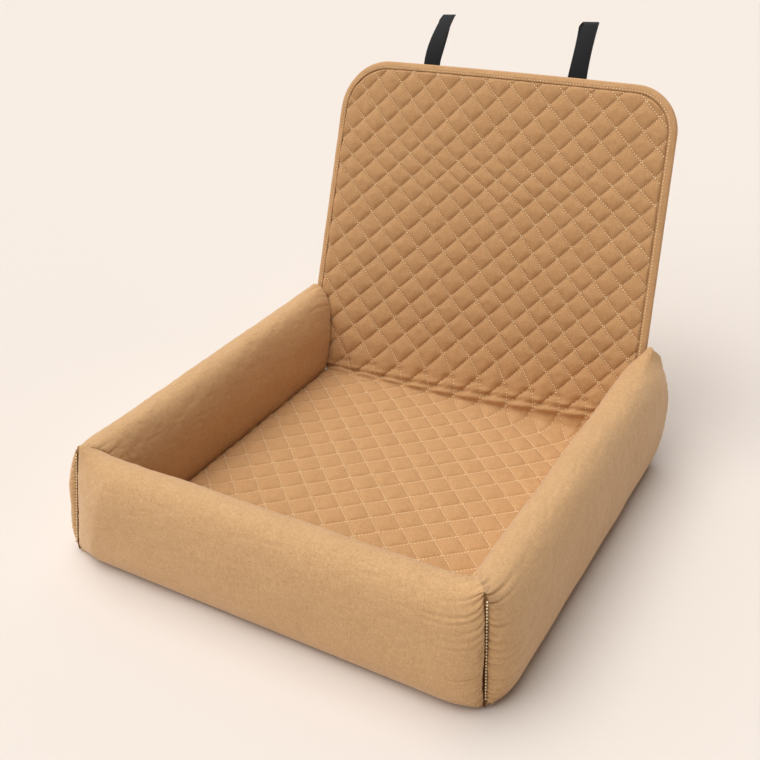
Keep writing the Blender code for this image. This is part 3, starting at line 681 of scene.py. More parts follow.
def lattice(column, row):
    """Cloth coordinates of a place in the quilting, whose diamonds are a little uneven.

    x is a row's centre, which drifts with a power of the row, plus the column times a step that narrows
    up the panel and widens on the seat. The distance from the crease, negative on the seat, is a start
    plus steps that shorten up the panel, tilted and bowed a little across it; the seat's and the
    panel's rules blend over the row before the crease.
    """
    # One of the two sets of lines strays by up to 0.6 of a diamond in the panel's lower middle
    top = smooth(12, 18, row)
    focus = 1 - 0.3 * np.maximum(row - 6, 0)
    stray = (0.12 + 0.5 * bell(column, focus, 8)) * (1 - top) - 0.25 * top
    stray = stray * smooth(-0.5, 2.0, row)
    column, row = column + stray, row + stray
    up, down = np.maximum(row, 0), np.maximum(-row, 0)
    fade = np.exp(-up / FADE_ROWS)
    step = COLUMN_STEP + COLUMN_STEP_LOW * fade + COLUMN_STEP_SEAT * (1 - np.exp(-down / 8))
    centre = COLUMN_START - 0.0065 * (up / 20) ** 3 + 0.0182 * (1 - np.exp(-down / 3))
    x = centre + column * step - 0.00009 * column**2 * fade * np.exp(-down / 2)
    tilt = -0.0007 + 0.0019 * fade
    panel = PANEL_ROW_START + PANEL_ROW_STEP * row - 0.000075 * up**2 + tilt * column
    panel = panel + 0.000045 * column**2
    seat = SEAT_ROW_START + SEAT_ROW_STEP * row - 0.0005 * column
    on = smooth(-0.5, 1.0, row) * MM
    r, a = (row - 10) / 10, column / 12
    terms = (1, r, a, a * r, a**2, r**3)
    x = x + on * sum(share * term for share, term in zip(DRIFT_ASIDE, terms))
    panel = panel + on * sum(share * term for share, term in zip(DRIFT_UP, terms))
    share = smooth(-1.0, 0.0, row)
    return sway(x, panel * share + seat * (1 - share), -1)


def side_x(distance, inset):
    """Half width of the back panel at a distance up it, drawn in by inset square to its edge."""
    return BACK_WIDTH_LOW / 2 - distance * math.tan(BACK_TAPER) - inset / math.cos(BACK_TAPER)


def panel_top(x):
    """Distance up the panel of its top edge, which bows up towards its middle."""
    return BACK_LENGTH + BACK_TOP_BOW * (1 - (x / (BACK_WIDTH_TOP / 2)) ** 2)


def panel_edge_distance(x, up):
    """Distance from a place on the panel in to its outline, negative outside."""
    side = (side_x(up, 0.0) - np.abs(x)) * math.cos(BACK_TAPER)
    top = panel_top(x) - up
    r = np.where(x < 0, BACK_CORNER_RADII[-1], BACK_CORNER_RADII[1])
    in_corner = (side < r) & (top < r)
    corner = r - np.hypot(r - side, r - top)
    return np.where(in_corner, corner, np.minimum(side, top))


def clip_to_outline(x, s, inset):
    """Moves the places outside the seat or the panel to their outline, and says which were outside."""
    def half_width(at):
        """Half width of the panel, or of the seat where the distance is negative."""
        return np.where(at >= 0, side_x(at, inset), SEAT_HALF)

    beside = (s < 0) & (np.abs(x) > SEAT_HALF) & (-s < np.abs(x) - SEAT_HALF)
    beside &= np.abs(x) < side_x(0.0, inset)
    out = (np.abs(x) > half_width(s) + 1e-9) | (s < SEAT_FRONT - 1e-9)
    s = np.where(beside, 0.0, np.maximum(s, SEAT_FRONT))
    x = np.where(beside, x, np.clip(x, -half_width(s), half_width(s)))
    upper = (s > BACK_LENGTH / 2) & (panel_edge_distance(x, s) < inset)
    step = 1e-5
    for _ in range(3):
        gap = np.where(upper, panel_edge_distance(x, s) - inset, 0.0)
        gx = (panel_edge_distance(x + step, s) - panel_edge_distance(x - step, s)) / (2 * step)
        gs = (panel_edge_distance(x, s + step) - panel_edge_distance(x, s - step)) / (2 * step)
        move = np.where(gap < 0, -gap / np.maximum(gx**2 + gs**2, 1e-6), 0.0)
        x, s = x + move * gx, s + move * gs
    return x, s, out | upper


def bend_up(x, s, lift):
    """Places cloth coordinates in the frame: the seat, a rounded crease, and the leaning panel.

    Along the rounding the cloth's heading turns evenly from level to the panel's slope.
    """
    x, s = sway(x, s)
    turn = math.pi / 2 - BACK_LEAN
    reach = CREASE_RADIUS * math.tan(turn / 2)
    heading = turn * np.clip((s + reach) / (2 * reach), 0, 1)
    before = np.minimum(s + reach, 0.0)
    after = np.maximum(s - reach, 0.0)
    y = CREASE[1] - reach + before + CREASE_RADIUS * np.sin(heading) + after * math.cos(turn)
    z = CREASE[2] + CREASE_RADIUS * (1 - np.cos(heading)) + after * math.sin(turn)
    return together(x, y - lift * np.sin(heading), z + lift * np.cos(heading))


def quilt_lift(column, row, x, s):
    """Height of the quilting over its stitched-down face.

    Each diamond is a pillow, the product of two rounded rises 1 - (1 - d / reach)^2 from its stitch
    lines, with its own fullness, puckers across the lines, and soft rolls and dents along the crease.
    """
    p, q = (column + row) / 2, (column - row) / 2
    near_p, near_q = (np.abs(v - np.round(v)) * DIAMOND_SIDE for v in (p, q))
    rise_p, rise_q = (1 - (1 - np.clip((near - STITCHED_FLAT) / PILLOW_REACH, 0, 1)) ** 2
                      for near in (near_p, near_q))
    which = np.floor(p) * 37.0 + np.floor(q) * 91.0
    full = PILLOW_HEIGHT + PILLOW_MORE_ON_PANEL * smooth(-0.01, 0.02, s)
    full = full * (1 + 0.12 * np.sin(which * 1.7) + 0.05 * np.sin(which * 5.3))
    lift = full * (rise_p * rise_q) ** 0.75
    pucker = sum(np.sin(2 * math.pi * to * 8 + 2.0 * np.sin(own * beat)) * np.exp(-near / 0.0030)
                 for to, own, beat, near in ((q, p, 9, near_p), (p, q, 7, near_q)))
    lift = lift + 0.00030 * pucker * np.minimum(rise_p, rise_q) ** 0.3
    lift = lift + 0.00030 * ripple(x, s, 51, 24, 0.018) * rise_p * rise_q
    lift = lift - 0.0009 * bell(near_q, 0, 0.0013) * np.minimum(rise_p * 2, 1)
    # Rolls between the crossings at the crease, and dents in the lowest diamonds above them
    swell = np.abs(np.sin(math.pi * column / 2)) ** 0.5
    lift = lift + 0.0032 * (bell(row, 0.06, 0.10) - 0.8 * bell(row, -0.14, 0.07)) * swell
    swell = np.abs(np.sin(math.pi * (column + 1) / 2)) ** 0.7
    lift = lift + 0.0030 * (0.8 * bell(row, 0.42, 0.09) - bell(row, 0.27, 0.06)) * swell
    arch = np.cos(math.pi * (column - 1) / 2) ** 2
    lift = lift - 0.0018 * bell(row, 0.92 - 0.2 * arch, 0.09) * smooth(0.25, 0.8, arch)
    # The seat's crown, its drawn-down sides, and the flange that the binding holds
    across = np.minimum(np.abs(x) / SEAT_HALF, 1)
    along = np.clip(s / SEAT_FRONT, 0, 1)
    edge = np.minimum(SEAT_HALF - np.abs(x), s - SEAT_FRONT)
    seat = SEAT_CROWN * (1 - across**2) * along * (1 - along)
    seat = seat - SEAT_EDGE_SUNK * np.exp(-np.maximum(edge, 0) / SEAT_EDGE_REACH)
    rim = panel_edge_distance(x, np.maximum(s, 0))
    held = smooth(BINDING_WIDTH, BINDING_WIDTH + 0.0022, rim)
    lift = np.where(s > 0, lift * held - 0.0006, lift + seat - 0.0011)
    flange = QUILT_BACK + QUILT_FLANGE
    return np.where(s > 0, np.maximum(lift, flange) * held + flange * (1 - held), lift)


def quilt_base(s):
    """Height of the quilting's flat back under its stitched-down face."""
    return PAD_BACK_ON_SEAT + PAD_BACK_RISE * smooth(-0.012, 0.012, s)


def border_loops(triangles):
    """The border of a triangle set, as loops of point numbers in order."""
    edges = np.concatenate([triangles[:, [0, 1]], triangles[:, [1, 2]], triangles[:, [2, 0]]])
    size = int(edges.max()) + 1
    code = edges[:, 0] * size + edges[:, 1]
    back = edges[:, 1] * size + edges[:, 0]
    alone = edges[~np.isin(code, back)]
    following = {}
    for start, end in alone.tolist():
        following.setdefault(start, []).append(end)
    loops = []
    while following:
        start = next(iter(following))
        loop = []
        at = start
        while at in following:
            loop.append(at)
            ends = following[at]
            onward = ends.pop()
            if not ends:
                del following[at]
            at = onward
        loops.append(np.array(loop))
    return loops


def quilt_piece(name, low, high, cloth):
    """A closed pad of all the diamonds from row low to row high, cut along their stitch lines.

    The top is a grid of CELLS steps to a half diamond, split into triangles along the stitch lines. The
    back is a coarse net inside the same border.
    """
    columns = np.arange(-15 * CELLS, 16 * CELLS + 1) / CELLS
    rows = np.arange((low - 2) * CELLS, (high + 2) * CELLS + 1) / CELLS
    column, row = np.meshgrid(columns, rows)
    x, s, out = clip_to_outline(*lattice(column, row), 0.003)
    index = np.arange(x.size).reshape(x.shape)
    a, b, c, d = index[:-1, :-1], index[:-1, 1:], index[1:, 1:], index[1:, :-1]
    mid_p = (column[:-1, :-1] + row[:-1, :-1]) / 2 + 0.5 / CELLS
    mid_q = (column[:-1, :-1] - row[:-1, :-1]) / 2
    falling = (np.abs(mid_p - np.round(mid_p)) < np.abs(mid_q - np.round(mid_q)))[..., None]
    first = np.where(falling, together(a, b, d), together(a, b, c))
    second = np.where(falling, together(b, c, d), together(a, c, d))
    triangles = np.concatenate([first.reshape(-1, 3), second.reshape(-1, 3)])
    column, row, x, s, out = (v.ravel() for v in (column, row, x, s, out))
    mid_column, mid_row = column[triangles].mean(1), row[triangles].mean(1)
    diamond = np.floor((mid_column + mid_row) / 2) - np.floor((mid_column - mid_row) / 2)
    keep = (diamond >= low) & (diamond <= high) & ~out[triangles].all(1)
    (x0, x1, x2), (s0, s1, s2) = x[triangles].T, s[triangles].T
    area = (x1 - x0) * (s2 - s0) - (x2 - x0) * (s1 - s0)
    used, triangles = np.unique(triangles[keep & (area > 1e-10)], return_inverse=True)
    triangles = triangles.reshape(-1, 3)
    u, v = x[used], s[used]
    top = bend_up(u, v, quilt_lift(column[used], row[used], u, v))
    flat = together(u, v)
    shell = Shell()
    shell.add(top, [triangles], flat)
    for loop in border_loops(triangles):
        under = bend_up(u[loop], v[loop], quilt_base(v[loop]))
        count = len(loop)
        turn = np.arange(count)
        following = (turn + 1) % count
        wall = together(turn, turn + count, following + count, following)
        shell.add(np.concatenate([top[loop], under]), [wall], np.concatenate([flat[loop]] * 2))
        if count > 40:
            shell.add(*coarse_back(flat[loop]))
    return shell.build(name, cloth, weld=1e-6)


def enclosed(spots, border):
    """Which spots lie inside a border: a line to the right of them crosses it an odd number of times."""
    here, there = border, np.roll(border, -1, axis=0)
    px, py = spots[:, :1], spots[:, 1:]
    spans = (here[:, 1] > py) != (there[:, 1] > py)
    rise = there[:, 1] - here[:, 1]
    rise = np.where(rise == 0, 1e-12, rise)
    cross = here[:, 0] + (py - here[:, 1]) / rise * (there[:, 0] - here[:, 0])
    return (spans & (px < cross)).sum(1) % 2 == 1


def coarse_back(border):
    """The pad's flat back: triangles between its border and a net of points 12 mm apart."""
    spacing = 0.012
    net = np.meshgrid(np.arange(-0.27, 0.27, spacing), np.arange(-0.44, 0.47, spacing))
    net = together(*net).reshape(-1, 2)
    gap = np.full(len(net), 9.0)
    for start in range(0, len(border), 200):
        part = border[start:start + 200]
        gap = np.minimum(gap, np.linalg.norm(net[:, None] - part[None], axis=-1).min(1))
    net = net[(gap > spacing / 3) & enclosed(net, border)]
    count = len(border)
    edges = [(i, (i + 1) % count) for i in range(count)]
    corners = [Vector(p) for p in np.concatenate([border, net]).tolist()]
    found = geometry.delaunay_2d_cdt(corners, edges, [], 1, 1e-7, True)
    spots = np.array([tuple(p) for p in found[0]])
    faces = np.array(found[2])
    faces = faces[enclosed(spots[faces].mean(1), border)]
    return bend_up(spots[:, 0], spots[:, 1], quilt_base(spots[:, 1])), [faces[:, ::-1]], spots


def stitches(name, middle, heading, facing, thread, radius=STITCH_RADIUS, length=STITCH_LENGTH):
    """A row of stitches: each is a spindle of six sides, set along its heading and half sunk."""
    heading = unit(heading)
    aside = unit(np.cross(heading, facing))
    facing = np.cross(aside, heading)
    turn = (np.arange(6) * math.pi / 3)[None, :, None]
    ring = middle[:, None] + (aside[:, None] * np.cos(turn) + facing[:, None] * np.sin(turn)) * radius
    reach = heading * length / 2
    sunk = middle - facing * radius * 0.8
    points = np.concatenate([ring - reach[:, None] * 0.55, ring + reach[:, None] * 0.55,
                             np.stack([sunk - reach, sunk + reach], axis=1)], axis=1)
    k = np.arange(6)
    n = (k + 1) % 6
    shift = (np.arange(len(middle)) * 14)[:, None, None]
    faces = [(together(*side) + shift).reshape(-1, len(side))
             for side in ((k, n, n + 6, k + 6), (n, k, 12), (k + 6, n + 6, 13))]
    shell = Shell()
    shell.add(points, faces)
    return shell.build(name, thread)


def quilt_stitches(name, low, high, thread):
    """The thread that shows along every stitch line of the diamonds from row low to row high."""
    per_side = int(round(DIAMOND_SIDE / STITCH_PITCH))
    line = np.arange(-26, 27)[:, None]
    along = (np.arange(-30 * per_side, 60 * per_side) + 0.5) / per_side
    way = np.repeat([-1.0, 1.0], line.size * along.size)
    column = np.tile((line + along).ravel(), 2)
    row = np.tile((along - line).ravel(), 2) * way
    x, s = lattice(column, row)
    edge = np.where(s > 0, panel_edge_distance(x, s) - BINDING_WIDTH - 0.001,
                    np.minimum(SEAT_HALF - np.abs(x), s - SEAT_FRONT) - 0.002)
    inside = (edge > 0) & (row >= low) & (row < high)
    column, row, way, x, s = (v[inside] for v in (column, row, way, x, s))
    step = 0.03

    def surface(c, r):
        """Where a place in the quilting lies on the cloth's face."""
        u, v = lattice(c, r)
        return bend_up(u, v, quilt_lift(c, r, u, v))

    heading = surface(column + step, row + way * step) - surface(column - step, row - way * step)
    facing = unit(bend_up(x, s, np.full(x.shape, 0.001)) - bend_up(x, s, np.zeros(x.shape)))
    proud = np.where(way < 0, *STITCH_PROUD)[:, None]
    return stitches(name, surface(column, row) + facing * proud, heading, facing, thread)


def build_quilting(cloth, thread):
    """The seat's and the panel's quilting, in two pads that each cross one joint."""
    lower = quilt_piece("seat_and_low_back_quilting", -24, SPLIT_ROW, cloth)
    upper = quilt_piece("upper_back_quilting", SPLIT_ROW + 1, 24, cloth)
    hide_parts("seat_quilt", "back_quilt_lower")
    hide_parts("back_quilt_upper")
    low_rows = quilt_stitches("low_quilting_stitches", -26, SPLIT_ROW + 0.5, thread)
    high_rows = quilt_stitches("high_quilting_stitches", SPLIT_ROW + 0.5, 26, thread)
    for piece in (lower, low_rows):
        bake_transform(piece)
    for piece in (upper, high_rows):
        bend_at_fold(piece)


def panel_path(inset, spacing, foot=0.0006):
    """The panel's outline, drawn in by inset, as evenly spaced (x, up) places from its right foot over
    the top to its left foot, and the distance of each along it."""
    halves = []
    for sign in (1, -1):
        r = BACK_CORNER_RADII[sign]
        centre_up = BACK_LENGTH - r
        centre_x = side_x(centre_up, r)
        angles = np.linspace(BACK_TAPER, math.pi / 2, 40)
        corner = together(centre_x + (r - inset) * np.cos(angles), centre_up + (r - inset) * np.sin(angles))
        side_up = np.linspace(foot, corner[0, 1], 60)[:-1]
        side = together(side_x(side_up, inset), side_up)
        top = together(np.linspace(centre_x, 0, 60)[1:], BACK_LENGTH - inset)
        halves.append(np.concatenate([side, corner, top]) * (sign, 1))
    line = np.concatenate([halves[0], halves[1][-2::-1]])
    line[:, 1] += (panel_top(line[:, 0]) - BACK_LENGTH) * smooth(centre_up, BACK_LENGTH, line[:, 1])
    run = run_along(line)
    at = np.linspace(0, run[-1], int(run[-1] / spacing) + 1)
    return together(*(np.interp(at, run, part) for part in line.T)), at


def on_panel(x, up, lift):
    """A place on the leaning panel, lift in front of its stitched-down face."""
    x, up = sway(x, up)
    return (CREASE + np.multiply.outer(up, UP) + np.multiply.outer(lift, OUT)
            + np.multiply.outer(x, ACROSS))


def build_binding(tape_cloth, thread):
    """A folded tape sewn round the panel's edge: two legs, a rounded fold, and a row of topstitching."""
    path, run = panel_path(0.0, 0.0025)
    tangent = unit(np.gradient(path, axis=0))
    inward = together(-tangent[:, 1], tangent[:, 0])
    half = (BINDING_FRONT - BINDING_BACK) / 2
    middle = (BINDING_FRONT + BINDING_BACK) / 2
    turn = np.linspace(math.pi / 2, -math.pi / 2, 15)
    legs = np.linspace(1, 0, 12)[:-1]
    bend = half * 0.9
    front = together(bend + (BINDING_WIDTH - bend) * legs,
                     middle + half + 0.0009 * np.sin(math.pi * legs) ** 0.8)
    fold = together(bend - bend * np.cos(turn), middle + half * np.sin(turn))
    back = front[::-1] * (1, 0) + (0, middle - half)
    inner = half - BINDING_CLOTH
    hollow = together([BINDING_WIDTH, 0.0016, 0.0016, BINDING_WIDTH],
                      middle + inner * np.array([-1, -0.7, 0.7, 1]))
    profile = np.concatenate([front, fold, back, hollow])
    inset, lift = profile.T[:, None]
    run = run[:, None]
    seam = bell(inset, TOPSTITCH_INSET, 0.0010) * (lift > BINDING_FRONT - 0.001)
    sag = 0.00045 * seam + 0.00018 * np.sin(2 * math.pi * run / STITCH_PITCH) * seam
    soft = 0.00030 * ripple(run, inset * 2, 61, 18, 0.030) * (inset < 0.0096)
    lift = lift - sag + soft * np.sign(lift - middle)
    spot = path[:, None] + inward[:, None] * inset[..., None]
    tape = tube("back_edge_binding", tape_cloth, on_panel(spot[..., 0], spot[..., 1], lift),
                together(run, run_along(profile)))
    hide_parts("back_binding_left", "back_binding_right", "back_binding_upper")
    line, _ = panel_path(TOPSTITCH_INSET, STITCH_PITCH)
    way = np.gradient(line, axis=0)
    facing = np.tile(OUT, (len(line), 1))
    spots = on_panel(line[:, 0], line[:, 1], np.full(len(line), BINDING_FRONT + 0.0004))
    heading = np.multiply.outer(way[:, 1], UP) + np.multiply.outer(way[:, 0], ACROSS)
    rows = stitches("binding_topstitching", spots[1:-1], heading[1:-1], facing[1:-1], thread,
                    radius=BINDING_STITCH_RADIUS)
    for piece in (tape, rows):
        bend_at_fold(piece)


def panel_grid(low, high, inset, count):
    """Places (x, up) all over the panel between two distances up it, drawn in by inset from its sides.

    x is a share from -1 to 1 times the half width, which falls by r - sqrt(r^2 - over^2) at a corner.
    """
    share, up = np.meshgrid(np.linspace(-1, 1, count), np.linspace(low, high, count))
    r = np.where(share < 0, BACK_CORNER_RADII[-1], BACK_CORNER_RADII[1])
    over = np.clip(up - (BACK_LENGTH - r), 0, r)
    return share * (side_x(up, inset) - (r - np.sqrt(r**2 - over**2)) * 0.985), up


def build_boards(plastic):
    """The panel's two stiffening boards: flat plates of about 3 mm, with faint ribs from their flutes."""
    for body, low, high in (("back_lower", BOARD_FOOT, FOLD_UP - BOARD_FOLD_GAP),
                            ("back_upper", FOLD_UP + BOARD_FOLD_GAP, BACK_LENGTH - BOARD_INSET)):
        x, up = panel_grid(low, high, BOARD_INSET, 80)
        flat = together(x, up)
        top = on_panel(x, up, np.full(x.shape, QUILT_BACK - BOARD_CLEARANCE))
        under = on_panel(x, up, np.full(x.shape, LINING_FRONT + BOARD_CLEARANCE))
        shell = Shell()
        shell.add_grid(top, flat)
        shell.add_grid(under, flat, flip=True)
        for edge in (np.s_[0, :], np.s_[:, -1], np.s_[-1, ::-1], np.s_[::-1, 0]):
            shell.add_grid(np.stack([under[edge], top[edge]]), np.stack([flat[edge]] * 2))
        made = shell.build(body + "_stiffener", plastic, weld=1e-6)
        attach(made, body)
        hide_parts(body.replace("back", "back_board"))


def build_lining(cloth):
    """The plain cloth on the panel's back, taut with faint drag lines."""
    x, up = panel_grid(0.0008, BACK_LENGTH - 0.0012, 0.0011, 150)
    lift = LINING_FRONT - LINING_THICKNESS + LINING_DRAG * ripple(x, up * 0.5, 71, 20, 0.06)
    shell = Shell()
    shell.add_grid(on_panel(x, up, np.minimum(lift, LINING_FRONT - 0.0006)), together(x, up), flip=True)
    made = shell.build("back_lining_cloth", cloth)
    wall = made.modifiers.new("cloth thickness", "SOLIDIFY")
    wall.thickness = LINING_CLOTH
    wall.offset = -1
    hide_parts("back_lining_lower", "back_lining_upper")
    bend_at_fold(made)


def strap_route(lean):
    """Middle line of a strap as (distance above the panel's top edge, distance behind its face), and
    the step at the middle of its turn: a parabola up, a half turn, and a fall to the panel's back."""
    thick = STRAP_THICKNESS / 2
    sewn_back = -BINDING_BACK + FIT_GAP + thick
    tail_back = LINING_THICKNESS - LINING_FRONT + 2 * PATCH_THICKNESS + 3 * FIT_GAP + thick
    turn = STRAP_LOOP_GAP / 2
    rise = STRAP_RISE - turn
    t = np.linspace(0, 1, 41)
    slope = math.atan2(2 * lean, rise)
    angles = np.linspace(0, math.pi, 33)[1:] + slope
    turn_up = rise - turn * math.sin(slope) + turn * np.sin(angles)
    turn_back = sewn_back + lean + turn * math.cos(slope) - turn * np.cos(angles)
    down = np.linspace(0, 1, 81)[1:]
    rear_up = turn_up[-1] - (turn_up[-1] + STRAP_TAIL_LENGTH - PATCH_LENGTH) * down
    swell = 4 * STRAP_LOOP_GAP * down * (1 - down) ** 4
    rear_back = tail_back + (turn_back[-1] - tail_back) * (1 - down) ** 2 + swell
    tab = np.linspace(-STRAP_TAB_LENGTH, 0, 26)[:-1]
    tail = np.linspace(rear_up[-1], -STRAP_TAIL_LENGTH, 31)[1:]
    runs = ((tab, sewn_back), (t * rise, sewn_back + lean * t**2), (turn_up, turn_back),
            (rear_up, rear_back), (tail, tail_back))
    return np.concatenate([together(*run) for run in runs]), len(tab) + len(t) + 15


def webbing_strip(name, route, x_middle, twist, webbing):
    """Ribbed webbing along a route: a flat section with rounded selvedges and lengthwise ribs.

    x_middle and twist hold one value for each place on the route: its middle, and its turn about the
    upward direction.
    """
    along = unit(np.gradient(route, axis=0))
    inward = together(-along[:, 1], along[:, 0])
    half, thick = STRAP_WIDTH / 2, STRAP_THICKNESS / 2
    across = np.linspace(-half + thick, half - thick, 61)
    face = thick - 0.0001 + RIB_HEIGHT * np.cos(2 * math.pi * across / RIB_PITCH)
    turn = np.linspace(-math.pi / 2, math.pi / 2, 7)[1:-1]
    right = together(half - thick + thick * np.cos(turn), thick * np.sin(turn))
    profile = np.concatenate([together(across, -face), right, together(across, face)[::-1],
                              right[::-1] * (-1, 1)])
    spot = route[:, None] + inward[:, None] * profile[None, :, 1:]
    x_middle, twist = x_middle[:, None], twist[:, None]
    points = on_panel(x_middle + profile[:, 0] * np.cos(twist), BACK_LENGTH + spot[..., 0],
                      -(spot[..., 1] + profile[:, 0] * np.sin(twist)))
    made = tube(name, webbing, points, together(run_along(route)[:, None], run_along(profile)))
    return made


def build_strap(side, webbing):
    """A strap in three lengths that meet end to end: sewn run, bend over the loop's top, and tail."""
    route, top = strap_route(STRAP_LEANS[side])
    low, high = top - STRAP_BEND_STEPS, top + STRAP_BEND_STEPS
    step = np.arange(len(route))
    eased = smooth(top + 57, len(route) - 33, step)
    foot, more = STRAP_SHIFTS[side]
    aside = foot + more * smooth(30, top, step) - STRAP_LOOP_SLIP * smooth(top - 14, top + 14, step)
    x = float(JOINTS[side + "_strap_open"][0]) + aside * (1 - eased)
    twist = STRAP_TWIST * smooth(25, top - 10, step) * (1 - eased)
    lengths = (("_strap_webbing", np.s_[:low + 1]), ("_strap_bend", np.s_[low:high + 1]),
               ("_strap_tail_webbing", np.s_[high:]))
    front, bend, tail = (webbing_strip(side + name, route[cut], x[cut], twist[cut], webbing)
                         for name, cut in lengths)
    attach(front, "back_upper")
    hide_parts(side + "_strap")
    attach(tail, side + "_strap_tail")
    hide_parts(side + "_strap_tail")
    ends = [low, high]
    ends = on_panel(x[ends], BACK_LENGTH + route[ends, 0], -route[ends, 1])
    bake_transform(bend)


def build_foam(foam):
    """The pad's foam block: its section is a squared-off round of a low power, a little smaller at its
    two ends."""
    low, high = (np.array(v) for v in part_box("seat_foam"))
    middle, half = (low + high) / 2, (high - low) / 2 - FOAM_CLEARANCE
    across, turn = np.meshgrid(np.linspace(-1, 1, 60), np.linspace(0, 2 * math.pi, 49)[:-1], indexing="ij")
    shrink = 1 - FOAM_END_ROUNDING / half[2] * np.maximum(np.abs(across) - 0.985, 0) / 0.015
    points = middle + half * together(across, signed_power(np.cos(turn), FOAM_POWER),
                                      signed_power(np.sin(turn), FOAM_POWER) * shrink)
    made = tube("seat_foam_block", foam, points, points[..., :2], flip=True)
    declare_padding(made, "seat_foam")


def corner_seams(cloth, thread):
    """The seam tape in the groove of each front corner, with its topstitching; the tape is a real seam
    allowance, and its dark brown is painted shade of the deep groove.
    """
    for side, sign in (("left", -1), ("right", 1)):
        top, proud = CORNER_TAPES[side]
        level = np.linspace(0.004, BOLSTER_HEIGHT + top, 90)[:, None]
        turn = np.linspace(-math.pi / 2, math.pi / 2, 11)[None, :]
        out = seam_depth(side, level) - proud + CORNER_TAPE_SUNK * (1 - np.cos(turn) ** 0.6)
        aside = CORNER_TAPE_HALF * np.sin(turn) / math.sqrt(2)
        points = together(sign * (BASE_WIDTH / 2 - out + aside), FRONT_Y + out + aside, level)
        strip = tube(side + "_corner_seam", cloth, points, together(turn * 0.004, level), sign < 0)
        up = np.arange(0.016, BOLSTER_HEIGHT + top, CORNER_STITCH_PITCH)
        out = seam_depth(side, up) - proud - 0.0006
        line = together(sign * (BASE_WIDTH / 2 - out), FRONT_Y + out, up)
        facing = np.tile(np.array([sign, -1.0, 0.0]) / math.sqrt(2), (len(up), 1))
        rows = stitches(side + "_corner_stitching", line, np.tile([0.0, 0, 1.0], (len(up), 1)), facing,
                        thread, radius=CORNER_STITCH_RADIUS, length=CORNER_STITCH_LENGTH)
        for piece in (strip, rows):
            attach(piece, "base")


def finish_cad_nodes(looks):
    """Gives the nodes that show as they are their finish."""
    for name, node in frame["nodes"].items():
        for key, look in looks.items():
            if key in name:
                node.data.materials.clear()
                node.data.materials.append(look)


def build_stage():
    """A pale floor that keeps the shadow, and a backdrop of its tone for the camera and reflections."""
    made, tree = new_material("pale matt paper floor")
    shader = add_node(tree, "BsdfPrincipled", {
        "Base Color": linear("#DED4CB"), "Roughness": 1.0, "Specular IOR Level": 0.0})
    add_node(tree, "OutputMaterial", {"Surface": shader})
    size, level = 30.0, -0.0002
    corners = [[-size, -size, level], [size, -size, level], [size, size, level], [-size, size, level]]
    shell = Shell()
    shell.add(corners, [np.array([[0, 1, 2, 3]])])
    shell.build("floor", made)

    world = bpy.data.worlds.new("studio")
    bpy.context.scene.world = world
    world.use_nodes = True
    tree = world.node_tree
    tree.nodes.clear()
    rays = add_node(tree, "LightPath", out=None)
    seen = add_math(tree, "MAXIMUM", rays["Is Camera Ray"], rays["Is Glossy Ray"])
    seen = add_math(tree, "MAXIMUM", seen, rays["Is Transmission Ray"])
    light = add_node(tree, "Background", {"Color": linear("#FFFFFF"), "Strength": 0.04})
    shown = add_node(tree, "Background", {"Color": linear("#F4EADF"), "Strength": 1.0})
    add_node(tree, "OutputWorld", {"Surface": add_node(tree, "MixShader", {0: seen, 1: light, 2: shown})})

    # A wide softbox overhead, two on the left, and weak ones in front, behind and low on the right
    for name, energy, spread, toward in (
            ("overhead", 2.45, 60, (-0.22, -0.06, 1.0)),
            ("front left", 1.05, 60, (-0.55, -0.6, 0.75)),
            ("rear left", 0.80, 75, (-0.6, 0.6, 0.75)),
            ("front", 0.44, 65, (0.0, -1.0, 0.45)),
            ("rear", 0.25, 65, (0.0, 1.0, 0.35)),
            ("low right", 0.62, 25, (1.0, -0.1, 0.06))):
        sun = bpy.data.lights.new(name, "SUN")
        sun.energy = energy
        sun.angle = math.radians(spread)
        lamp = bpy.data.objects.new(name, sun)
        bpy.context.scene.collection.objects.link(lamp)
        lamp.rotation_euler = Vector(toward).to_track_quat("Z", "Y").to_euler()


def build_camera():
    """The camera at the reference's viewpoint."""
    azimuth, elevation, roll = (math.radians(v) for v in (31.46, 29.82, -2.567))
    place = (0.5626, -0.8803, 0.7869)
    focal_pixels, picture_pixels = 1028, 760
    back = Vector((math.sin(azimuth) * math.cos(elevation), -math.cos(azimuth) * math.cos(elevation),
                   math.sin(elevation)))
    level = Vector((math.cos(azimuth), math.sin(azimuth), 0))
    upright = back.cross(level)
    right = level * math.cos(roll) + upright * math.sin(roll)
    top = upright * math.cos(roll) - level * math.sin(roll)
    data = bpy.data.cameras.new("camera")
    data.sensor_width = 36.0
    data.lens = data.sensor_width * focal_pixels / picture_pixels
    data.clip_start = 0.05
    data.clip_end = 100
    camera = bpy.data.objects.new("camera", data)
    bpy.context.scene.collection.objects.link(camera)
    turn = Matrix((right, top, back)).transposed()
    camera.matrix_world = Matrix.Translation(place) @ turn.to_4x4()
    bpy.context.scene.camera = camera


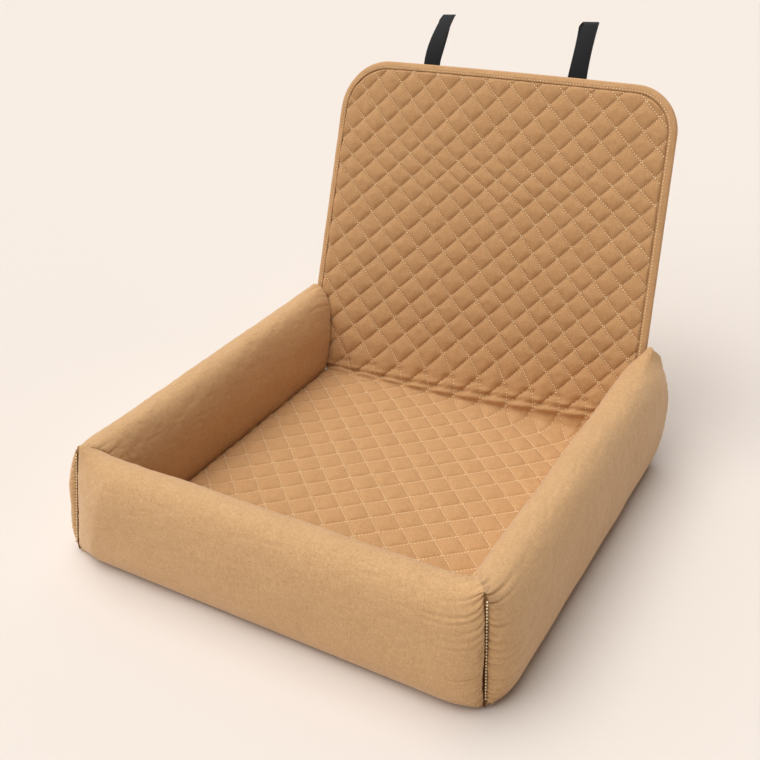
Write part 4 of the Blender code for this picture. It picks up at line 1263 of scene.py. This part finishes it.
def main():
    """Builds every piece, the floor, the lights and the camera."""
    bpy.context.scene.view_settings.view_transform = "Standard"
    cover = woven_cloth("tan cotton canvas", "#A97D4F", "#DDB586", 0.7 * MM, 4.5 * MM, 0.24 * MM, 0.4)
    quilted = woven_cloth("tan quilted cotton", "#A5794A", "#D2A577", 0.65 * MM, 4 * MM, 0.18 * MM, 0.2)
    tape = woven_cloth("tan cotton binding tape", "#AB7F52", "#D5AA7C", 0.65 * MM, 4 * MM, 0.12 * MM, 0.2)
    # The corner seam tape's dark brown is painted shade: it stands for the tan seam allowance in the groove's
    # shadow
    seam_tape_dark_as_painted_shade = woven_cloth("cotton seam tape, dark brown as painted groove shade", "#4B3018", "#7A5430", 0.6 * MM, 4 * MM, 0.15 * MM, 0)
    lining = woven_cloth("tan polyester lining", "#A97B4B", "#C0915E", 0.8 * MM, 6 * MM, 0.08 * MM)
    thread = plain_finish("cream polyester thread", "#F6DBA8", "#FFEBC4", 0.5 * MM, 0.05 * MM, 0.8)
    fleece = plain_finish("white polyester fibre", "#D9D8D2", "#F2F1EC", 1.5 * MM, 0.8 * MM, 0.95)
    foam = plain_finish("cream open-cell foam", "#D8CFA8", "#EEE6C4", 0.8 * MM, 0.3 * MM, 0.95)
    plastic = plain_finish("black corrugated plastic board", "#1C1C1D", "#28282A", 2 * MM, 0.05 * MM, 0.55,
                           stretch=(1, 0.1, 0.1))
    for side in ("front", "left", "right"):
        build_bolster(side, cover)
        build_stuffing(side, fleece)
    corner_seams(seam_tape_dark_as_painted_shade, thread)
    build_quilting(quilted, thread)
    build_binding(tape, thread)
    build_boards(plastic)
    build_lining(lining)
    webbing = webbing_finish()
    for side in ("left", "right"):
        build_strap(side, webbing)
    build_foam(foam)
    finish_cad_nodes({
        "base_sheet": plain_finish("dark non-slip mesh cloth", "#1B1714", "#2E2823", 0.9 * MM, 0.2 * MM,
                                   0.85),
        "zip_chain": plain_finish("tan woven zip tape", "#A9815A", "#C49A6E", 0.7 * MM, 0.1 * MM, 0.8),
        "zip_slider": plain_finish("nickel-plated zinc casting", "#A5A096", "#C8C3B8", 0.6 * MM, 0.02 * MM,
                                   0.3, 1.0),
        "patch": plain_finish("black hook and loop pile", "#0E0E10", "#26262A", 0.6 * MM, 0.4 * MM, 0.95),
    })
    build_stage()
    build_camera()


main()
